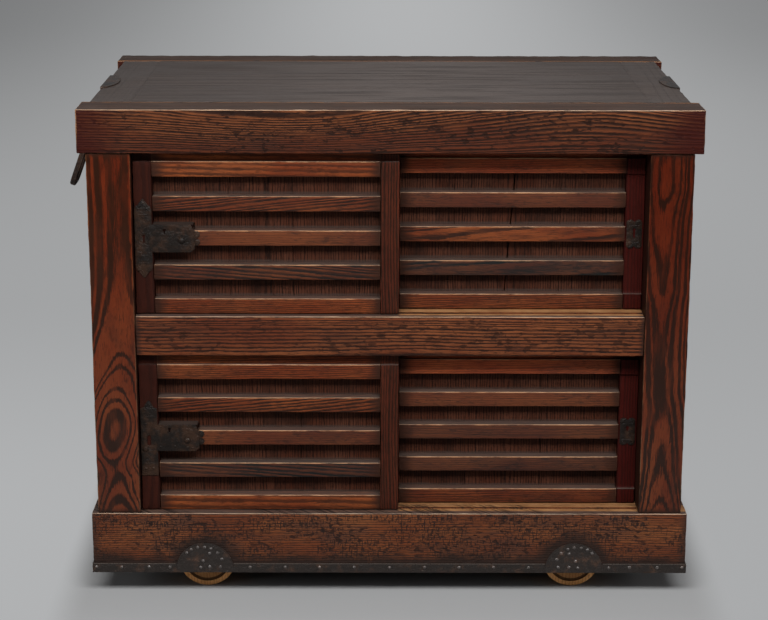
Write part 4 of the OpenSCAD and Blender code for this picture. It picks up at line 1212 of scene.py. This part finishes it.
def pointed_plate(low, high, tip, shoulder, square_foot=False):
    """Outline of a tall plate with a pointed ogee at both ends, or only at the top."""
    (x0, z0), (x1, z1) = low, high
    middle = (x0 + x1) / 2
    half = (x1 - x0) / 2
    top = [(x1, z1 - tip - shoulder), (x1, z1 - tip - shoulder * 0.35), (x1 - half * 0.16, z1 - tip),
           (x1 - half * 0.38, z1 - tip + shoulder * 0.12), (middle + half * 0.40, z1 - tip * 0.55),
           (middle + half * 0.16, z1 - tip * 0.16), (middle, z1)]
    left_top = [(2 * middle - x, z) for x, z in reversed(top[:-1])]
    upper = top + left_top
    lower = [(x, z0 + z1 - z) for x, z in reversed(upper)]
    if square_foot:
        lower = [(x0, z0 + MM), (x0 + MM, z0), (x1 - MM, z0), (x1, z0 + MM)]
    return upper + lower


# How far the middle of a lock's stile plate lies from its left edge
STILE_PLATE_MIDDLE = 15.5 * MM
# Each lock's nails and studs: radius, height and places (X, Z) in millimetres
LOCK_NAILS = {
    "upper_left": (
        (2.6, 1.1, ((-454, 744), (-439.5, 745), (-456, 631), (-438, 631), (-452.5, 662.5), (-451.5, 657))),
        (2.6, 1.0, ((-362.5, 705.5), (-361.5, 674.5))),
        (6.3, 4.5, ((-377.5, 686.5),))),
    "lower_left": (
        (2.7, 1.2, ((-454.5, 365.5), (-438.5, 366), (-454, 249), (-440, 250), (-453, 336))),
        (2.5, 1.1, ((-424.5, 330.5), (-425.5, 292), (-399, 293), (-375, 290.6), (-366.5, 290), (-357, 311),
                    (-374, 326))),
        (6.3, 4.5, ((-375.5, 305),)), (5.6, 3.2, ((-454, 288),)))}
# Height and half length, in millimetres, of the level lines chased into each stile plate
LOCK_LINES = {"upper_left": ((733.5, 9), (719.5, 6), (657.5, 8), (644, 9)),
              "lower_left": ((351.5, 7), (260, 9))}


class CHEST_OT_lock_plates(bpy.types.Operator):
    """Adds the left doors' iron lock plates with their boxes, keyholes, nails, studs and chased lines."""

    bl_idname = "chest.lock_plates"
    bl_label = "Lock plates"

    def execute(self, context):
        self.iron = forged_iron("lock_iron", 0.44, 0.0, 0.13, 0.40)
        self.upper()
        self.lower()
        return {"FINISHED"}

    def start(self, door, tip, shoulder, holes):
        """The plate on the stile, the face and end wall of the box, and the lobed ear."""
        low, high = corners(door + "_lock_plate")
        box_low, box_high = corners(door + "_lock_block")
        face = box_low[1] - PLATE_THICK
        middle = (low[2] + high[2]) / 2
        x1 = low[0] + 2 * STILE_PLATE_MIDDLE
        end, reach = box_high[0], high[0]
        outline = pointed_plate((low[0], low[2]), (x1, high[2]), tip, shoulder, door.startswith("lower"))
        stile = cut_plate("stile_plate", [outline, holes[0]], face, PLATE_THICK)
        rise = (box_high[2] - box_low[2]) / 2
        corner, tuck = 9 * MM, 4 * MM
        face_line = [(x1 - tuck, middle - rise), (end - corner, middle - rise)]
        face_line += arc(end - corner, middle - rise + corner, corner, -80, 0, 6)
        face_line += [(end + 1.2 * MM, middle + 11 * MM), (end - 2 * MM, middle + rise - 7 * MM),
                      (end - 5 * MM, middle + rise), (x1 - tuck, middle + rise)]
        box_face = cut_plate("box_face", [face_line, holes[1]], face - 0.15 * MM, PLATE_THICK)
        rail_face = corners(door + "_rails")[0][1]
        ear_rise, lobe = 13.6 * MM, 6.5 * MM
        ear_line = [(end - MM, middle - ear_rise)]
        ear_line += arc(reach - lobe, middle - ear_rise + lobe, lobe, -90, 60, 8)
        ear_line += [(reach - lobe * 1.2, middle)]
        ear_line += arc(reach - lobe, middle + ear_rise - lobe, lobe, -60, 90, 8)
        ear_line += [(end - MM, middle + ear_rise)]
        ear = cut_plate("ear", [ear_line], rail_face - PLATE_THICK, PLATE_THICK)
        wall = start_block("wall", (end - 0.2 * MM, face, middle - rise + corner * 0.6),
                           (end + 1.3 * MM, rail_face, middle + rise - 5.5 * MM))
        return [stile, box_face, ear, wall], face

    def close(self, door, parts, face, x):
        """Adds the level lines, nails and studs, and finishes the plate."""
        for z, half in LOCK_LINES[door]:
            parts.append(ridge([(x - half * MM, z * MM), (x + half * MM, z * MM)], face, 0.7 * MM))
        for radius, height, places in LOCK_NAILS[door]:
            parts.append(nails_at("nails", on_face(places, face), radius * MM, height * MM))
        finish_piece(join(door + "_lock_iron", parts), door + "_door", self.iron,
                     [door + "_lock_plate"])

    def upper(self):
        """The upper lock: a keyhole in each plate, chased chevrons and curls at both tips, two rings."""
        low, high = corners("upper_left_lock_plate")
        x = low[0] + STILE_PLATE_MIDDLE
        holes = [keyhole(x + 0.5 * MM, 0.6935, 3.0 * MM, 3.2 * MM, 12.5 * MM),
                 keyhole(-0.4085, 0.7050, 2.8 * MM, 2.6 * MM, 7.0 * MM)]
        parts, face = self.start("upper_left", 14 * MM, 16 * MM, holes)
        for sign, end in ((1, high[2]), (-1, low[2])):
            chevron = [(x + across * MM, end - sign * down * MM)
                       for across, down in ((-12, 24), (-5, 15), (0, 8.5), (5, 15), (12, 24))]
            parts.append(ridge(chevron, face, 0.9 * MM))
            for side in (-1, 1):
                curl = [(x + side * 9 * MM, end - sign * 12 * MM), (x + side * 3 * MM, end - sign * 5 * MM)]
                parts.append(ridge(curl, face, 0.7 * MM))
        parts.append(ridge(arc(x, 0.688, 9.5 * MM, 120, 420, 20), face, 0.6 * MM))
        parts.append(ridge(arc(-0.3775, 0.6865, 9.0 * MM, 0, 360, 20), face, 0.5 * MM))
        self.close("upper_left", parts, face, x)

    def lower(self):
        """The lower lock: an oval slot, a keyhole in the box and one chevron."""
        low, high = corners("lower_left_lock_plate")
        x = low[0] + STILE_PLATE_MIDDLE
        slot = arc(-0.4470, 0.3110, 3.6 * MM, 0, 180, 8) + arc(-0.4470, 0.2975, 3.6 * MM, 180, 360, 8)
        holes = [slot, keyhole(-0.4090, 0.3265, 2.8 * MM, 2.6 * MM, 6.0 * MM)]
        parts, face = self.start("lower_left", 15 * MM, 5 * MM, holes)
        chevron = [(x + across * MM, high[2] - down * MM)
                   for across, down in ((-11, 16), (-4, 11), (0, 6), (4, 11), (11, 16))]
        parts.append(ridge(chevron, face, 0.9 * MM))
        self.close("lower_left", parts, face, x)


class CHEST_OT_key_plates(bpy.types.Operator):
    """Adds the right doors' key plates in their finger scoops."""

    bl_idname = "chest.key_plates"
    bl_label = "Key plates"

    def execute(self, context):
        iron = forged_iron("key_plate_iron", 0.50, 0.0, 0.12, 0.44)
        for row, key_drop, nails in (("upper", 15.0, ()), ("lower", 6.5, (
                (-8.5, 20.0), (8.5, 21.0), (-8.0, -20.5), (8.0, -18.5)))):
            low, high = corners(f"{row}_right_key_plate")
            x, z = (low[0] + high[0]) / 2, (low[2] + high[2]) / 2
            half, rise, lobe = (high[0] - low[0]) / 2, (high[2] - low[2]) / 2, 7 * MM
            quarter = arc(x + half - lobe, z + rise - lobe, lobe, -20, 115, 9)
            top = quarter + [(x, z + rise - 4.5 * MM)] + [(2 * x - a, b) for a, b in reversed(quarter)]
            outline = top + [(a, 2 * z - b) for a, b in reversed(top)]
            hole = keyhole(x, z + 8 * MM, 3.2 * MM, 4.2 * MM, key_drop * MM)
            face = low[1]
            parts = [cut_plate("plate", [outline, hole], face, high[1] - low[1])]
            for sign in (-1, 1):
                for side in (-1, 1):
                    curl = arc(x + side * 7.5 * MM, z + sign * 19.5 * MM, 3.8 * MM, 0, 360, 12)
                    parts.append(ridge(curl, face, 0.9 * MM))
                parts.append(ridge([(x - 9 * MM, z + sign * 14 * MM), (x, z + sign * 16.5 * MM),
                                    (x + 9 * MM, z + sign * 14 * MM)], face, 0.7 * MM))
            if nails:
                places = [(x + a * MM, face, z + b * MM) for a, b in nails]
                parts.append(nails_at("nails", places, 2.5 * MM, 1.1 * MM))
            finish_piece(join(f"{row}_right_key_iron", parts), f"{row}_right_door", iron,
                         [f"{row}_right_key_plate"])
        return {"FINISHED"}


# Places (X, Z) of the base's nails in millimetres: those on the left, repeated on the right, and the others
SIDE_NAILS = ((-381, 87), (-372, 94), (-360, 98), (-347, 98.5), (-335, 95.5), (-323, 87), (-315, 75),
              (-338, 86), (-350, 71), (-355, 58), (-338, 59), (-318, 59), (-551, 59), (-504, 58.5),
              (-452, 59), (-413, 58.5))
MIDDLE_NAILS = ((-262, 58.5), (-196, 59), (-131, 58.5), (-66, 59), (0, 58.5), (66, 59), (131, 58.5),
                (196, 59), (262, 58.5))


class CHEST_OT_nails(bpy.types.Operator):
    """Adds the round-headed nails of the base's iron band and half-moon plates."""

    bl_idname = "chest.nails"
    bl_label = "Base nails"

    def execute(self, context):
        radius = context.scene.chest_iron.nail_radius
        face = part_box("axle_plates")[0].y
        spots = [*SIDE_NAILS, *((-x, z) for x, z in SIDE_NAILS), *MIDDLE_NAILS]
        front = nails_at("front_nails", on_face(spots, face), radius, 1.7 * MM)
        back = copy_to(front, "back_nails", (0, 0, 0))
        activate(back)
        edit_all()
        bpy.ops.transform.rotate(value=math.pi, orient_axis="Z", center_override=(0, 0, 0))
        leave_edit()
        # The nail heads' iron is painted paler than the rest, standing in for the highlights on their domes
        iron = forged_iron("nail_iron", 1.6, 0.0, 1.0)
        finish_piece(join("base_nail_heads", [front, back]), CARCASS, iron, ["band_nails"])
        return {"FINISHED"}


# A wheel's turned face from the rim inwards: each step's width and how far it stands out, in millimetres
WHEEL_STEPS = ((2.0, 1.2), (7.5, 0.0), (0.8, -2.2), (4.0, 0.0), (0.8, 1.8), (8.0, 0.6))


class CHEST_OT_wheels(bpy.types.Operator):
    """Adds the four turned wooden wheels."""

    bl_idname = "chest.wheels"
    bl_label = "Wheels"

    def execute(self, context):
        low, high = corners("wheel_front_left")
        radius, width, bore = (high[2] - low[2]) / 2, high[1] - low[1], 16.2 * MM
        wheel = self.disc(96, radius, width)
        bpy.ops.object.mode_set(mode="EDIT")
        bpy.context.tool_settings.mesh_select_mode = (False, False, True)
        for side in (-1, 1):
            bpy.ops.mesh.select_all(action="DESELECT")
            mesh = bmesh.from_edit_mesh(wheel.data)
            for face in mesh.faces:
                if face.normal.y * side > 0.9 and face.calc_center_median().length < width:
                    face.select_set(True)
            bmesh.update_edit_mesh(wheel.data)
            for inset, push in WHEEL_STEPS:
                bpy.ops.mesh.inset(thickness=inset * MM, depth=0)
                bpy.ops.transform.translate(value=(0, side * push * MM, 0))
        leave_edit()
        carve(wheel, self.disc(48, bore, width * 2))
        wood = ring_wood("wheel_wood", "Y", (0.02, 0.2), 6 * MM, 0.4, 131.0, tones=WHEEL_TONES, scuff=0.2,
                         dust=0.0, haze=0.1, extra=wheel_rings)
        for end in ("front", "back"):
            for side in ("left", "right"):
                name = f"wheel_{end}_{side}"
                low, high = corners(name)
                place = [(a + b) / 2 for a, b in zip(low, high)]
                turned = copy_to(wheel, name + "_turned", place)
                finish_piece(turned, f"wheelset_{side}", wood, [name])
        bpy.data.objects.remove(wheel)
        return {"FINISHED"}

    def disc(self, sides, radius, width):
        """A round block at the origin whose axis runs along Y."""
        deselect()
        bpy.ops.mesh.primitive_cylinder_add(vertices=sides, radius=radius, depth=width,
                                            rotation=(math.pi / 2, 0, 0))
        settle()
        return bpy.context.object


class CHEST_OT_frame_finish(bpy.types.Operator):
    """Gives the boards, axles and ironwork that stay from the frame their finishes."""

    bl_idname = "chest.frame_finish"
    bl_label = "Frame finishes"

    def execute(self, context):
        wood = context.scene.chest_wood
        sill_tones = ((0.20, 0.10, 0.045), (0.26, 0.14, 0.07), tuple(wood.grain), (0.35, 0.2, 0.1))
        block_tones = tuple(shaded(tone, 0.12) for tone in DARK_TONES)
        for names, finish in (
                (["top_boards"],
                 ring_wood("top_board_wood", "X", (1.05, 0.0), 12 * MM, 0.4, 51.0, tones=TOP_TONES,
                           specular=0.25, dust=0.3, extra=top_sheen_and_streaks)),
                (["door_sill"],
                 ring_wood("sill_wood", "X", (0.3, -0.2), 6 * MM, 0.3, 61.0, tones=sill_tones,
                           extra=bare_track)),
                (["shelf_boards", "floor_boards", "axle_left", "axle_right"],
                 ring_wood("inner_board_wood", "X", (0.9, 0.3), 10 * MM, 0.3, 71.0, tones=INSIDE_TONES,
                           scuff=0.1)),
                (["back_boards"],
                 ring_wood("back_board_wood", "Z", (0.0, 0.2), 10 * MM, 0.3, 75.0, tones=INSIDE_TONES)),
                (["side_boards"],
                 ring_wood("side_board_wood", "Y", (0.3, 0.4), 9 * MM, 0.4, 81.0, tones=DARK_TONES)),
                (["upper_left_lock_block", "lower_left_lock_block"],
                 ring_wood("lock_block_wood", "X", (0.9, -0.2), 6 * MM, 0.4, 121.0, tones=block_tones,
                           dust=0.5)),
                (self.nodes_with("axle_plates", "keepers", "pins", "bolt"), forged_iron("forged_iron")),
                (["base_band"], forged_iron("band_iron", 0.9, top=BAND_TOP)),
                (self.nodes_with("handle"), forged_iron("handle_iron", 0.7, 0.0, 0.2, 0.40))):
            dress(names, finish)
        return {"FINISHED"}

    def nodes_with(self, *words):
        """Names of the frame's nodes that hold one of the words."""
        return [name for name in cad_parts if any(word in name for word in words)]


class CHEST_OT_stage(bpy.types.Operator):
    """Adds the pale floor, the lamps, the background and the camera."""

    bl_idname = "chest.stage"
    bl_label = "Stage"

    def execute(self, context):
        settings = context.scene.chest_stage
        self.add_floor(settings)
        self.add_lamps(settings)
        self.add_world(context, settings)
        self.add_camera(context)
        context.scene.view_settings.view_transform = "Standard"
        return {"FINISHED"}

    def add_floor(self, settings):
        """A floor that takes the chest's light and shadow near it and further off glows with painted light
        for the camera.
        """
        deselect()
        bpy.ops.mesh.primitive_circle_add(vertices=96, radius=30.0, fill_type="NGON")
        floor = bpy.context.object
        floor.name = "floor"
        material, flow = new_finish("pale_floor")
        x, y, _ = flow.node("TexCoord", None, None, "Object").parts()
        lit = flow.node("BsdfDiffuse", None, {"Color": solid(settings.floor)})
        glow = flow.node("Emission", None, {"Color": backdrop_glow(flow, x, y), "Strength": 1.0})
        # The glow starts sooner beside the chest than before it
        beside = (abs(x) - SHADOW_X).most(0.0) * 5.0
        before = (abs(y) - SHADOW_Y).most(0.0)
        away = diagonal(beside, before).fade(0.02, 0.42) * flow.node("LightPath", None, None, "Is Camera Ray")
        mixed = flow.node("MixShader", None, {0: away, 1: lit, 2: glow})
        flow.node("OutputMaterial", None, {"Surface": mixed})
        floor.data.materials.append(material)

    def add_lamps(self, settings):
        """A wide lamp over the front and a small low one at each side."""
        for name, place, size, power in (
                ("key_lamp", (0.0, -2.95, 3.1), (4.6, 1.0), settings.key_power),
                ("left_lamp", (-3.2, -1.5, 1.1), (1.6, 1.2), settings.side_power),
                ("right_lamp", (3.2, -1.5, 1.1), (1.6, 1.2), settings.side_power)):
            deselect()
            bpy.ops.object.light_add(type="AREA", location=place)
            lamp = bpy.context.object
            lamp.name = name
            lamp.data.shape = "RECTANGLE"
            lamp.data.size, lamp.data.size_y = size
            lamp.data.energy = power
            aim = Vector((0.0, 0.0, 0.5)) - Vector(place)
            lamp.rotation_euler = aim.to_track_quat("-Z", "Y").to_euler()

    def add_world(self, context, settings):
        """Even light from all round, with a grey room for the camera and for reflections."""
        world = bpy.data.worlds.new("studio")
        context.scene.world = world
        world.use_nodes = True
        world.node_tree.nodes.clear()
        flow = Flow(world.node_tree)
        camera_ray = flow.node("LightPath", None, None, "Is Camera Ray")
        glossy_ray = flow.node("LightPath", None, None, "Is Glossy Ray")
        seen = camera_ray.most(glossy_ray)
        light = flow.node("Background", None, {"Color": (1, 1, 1, 1), "Strength": settings.sky})
        view = flow.node("Background", None, {"Color": (0.24, 0.245, 0.25, 1), "Strength": 1.0})
        mixed = flow.node("MixShader", None, {0: seen, 1: light, 2: view})
        flow.node("OutputWorld", None, {"Surface": mixed})

    def add_camera(self, context):
        """A long lens in front of the chest, a little above it."""
        deselect()
        bpy.ops.object.camera_add(location=(-0.0136, -3.9308, 1.5274))
        camera = bpy.context.object
        camera.name = "camera"
        turn = (Matrix.Rotation(-0.00073, 3, "Z") @ Matrix.Rotation(math.radians(74.918), 3, "X")
                @ Matrix.Rotation(0.00181, 3, "Z"))
        camera.rotation_euler = turn.to_euler()
        camera.data.sensor_fit = "HORIZONTAL"
        camera.data.sensor_width = 36.0
        camera.data.lens = 95.775
        camera.data.clip_end = 100.0
        context.scene.camera = camera


def backdrop_glow(flow, x, y):
    """Painted light on the far floor: a grey glow, brightest behind the chest, brighter on the left near it
    and on the right far off.
    """
    spot = (x * x * -0.44).math("EXPONENT")
    far = spot * 0.24 + 0.20
    near = 0.368
    close = x.fade(-0.9, 0.9, 0.075, 0.035) * y.fade(0.0, 1.9, 1.0, 0.0)
    right = x.fade(-1.0, 1.3, -0.010, 0.034) * y.fade(1.0, 6.0)
    level = y.fade(0.5, 8.5) * (far - near) + near + close + right
    return flow.node("CombineColor", None, {0: level * 0.985, 1: level, 2: level * 1.015})


SETTINGS = (ChestWoodSettings, ChestIronSettings, ChestStageSettings)
STEPS = (CHEST_OT_top_frame, CHEST_OT_posts, CHEST_OT_middle_rails, CHEST_OT_base, CHEST_OT_door_slats,
         CHEST_OT_door_panels, CHEST_OT_door_stiles, CHEST_OT_lock_plates, CHEST_OT_key_plates,
         CHEST_OT_nails, CHEST_OT_wheels, CHEST_OT_frame_finish, CHEST_OT_stage)


class CHEST_PT_panel(bpy.types.Panel):
    """Lists the chest's settings and pieces in the sidebar."""

    bl_idname = "CHEST_PT_panel"
    bl_label = "Wheeled Storage Chest"
    bl_space_type = "VIEW_3D"
    bl_region_type = "UI"
    bl_category = "Chest"

    def draw(self, context):
        for group in (context.scene.chest_wood, context.scene.chest_iron, context.scene.chest_stage):
            box = self.layout.box()
            for key in group.__annotations__:
                box.prop(group, key)
        for step in STEPS:
            self.layout.operator(step.bl_idname)


def register():
    """Registers the settings, the operators and the panel."""
    for item in (*SETTINGS, *STEPS, CHEST_PT_panel):
        bpy.utils.register_class(item)
    bpy.types.Scene.chest_wood = bpy.props.PointerProperty(type=ChestWoodSettings)
    bpy.types.Scene.chest_iron = bpy.props.PointerProperty(type=ChestIronSettings)
    bpy.types.Scene.chest_stage = bpy.props.PointerProperty(type=ChestStageSettings)


def unregister():
    """Takes back what register() added."""
    del bpy.types.Scene.chest_stage, bpy.types.Scene.chest_iron, bpy.types.Scene.chest_wood
    for item in reversed((*SETTINGS, *STEPS, CHEST_PT_panel)):
        bpy.utils.unregister_class(item)


def main():
    """Runs every step in order."""
    register()
    for step in STEPS:
        getattr(bpy.ops.chest, step.bl_idname.split(".")[1])()


if __name__ == "__main__":
    main()
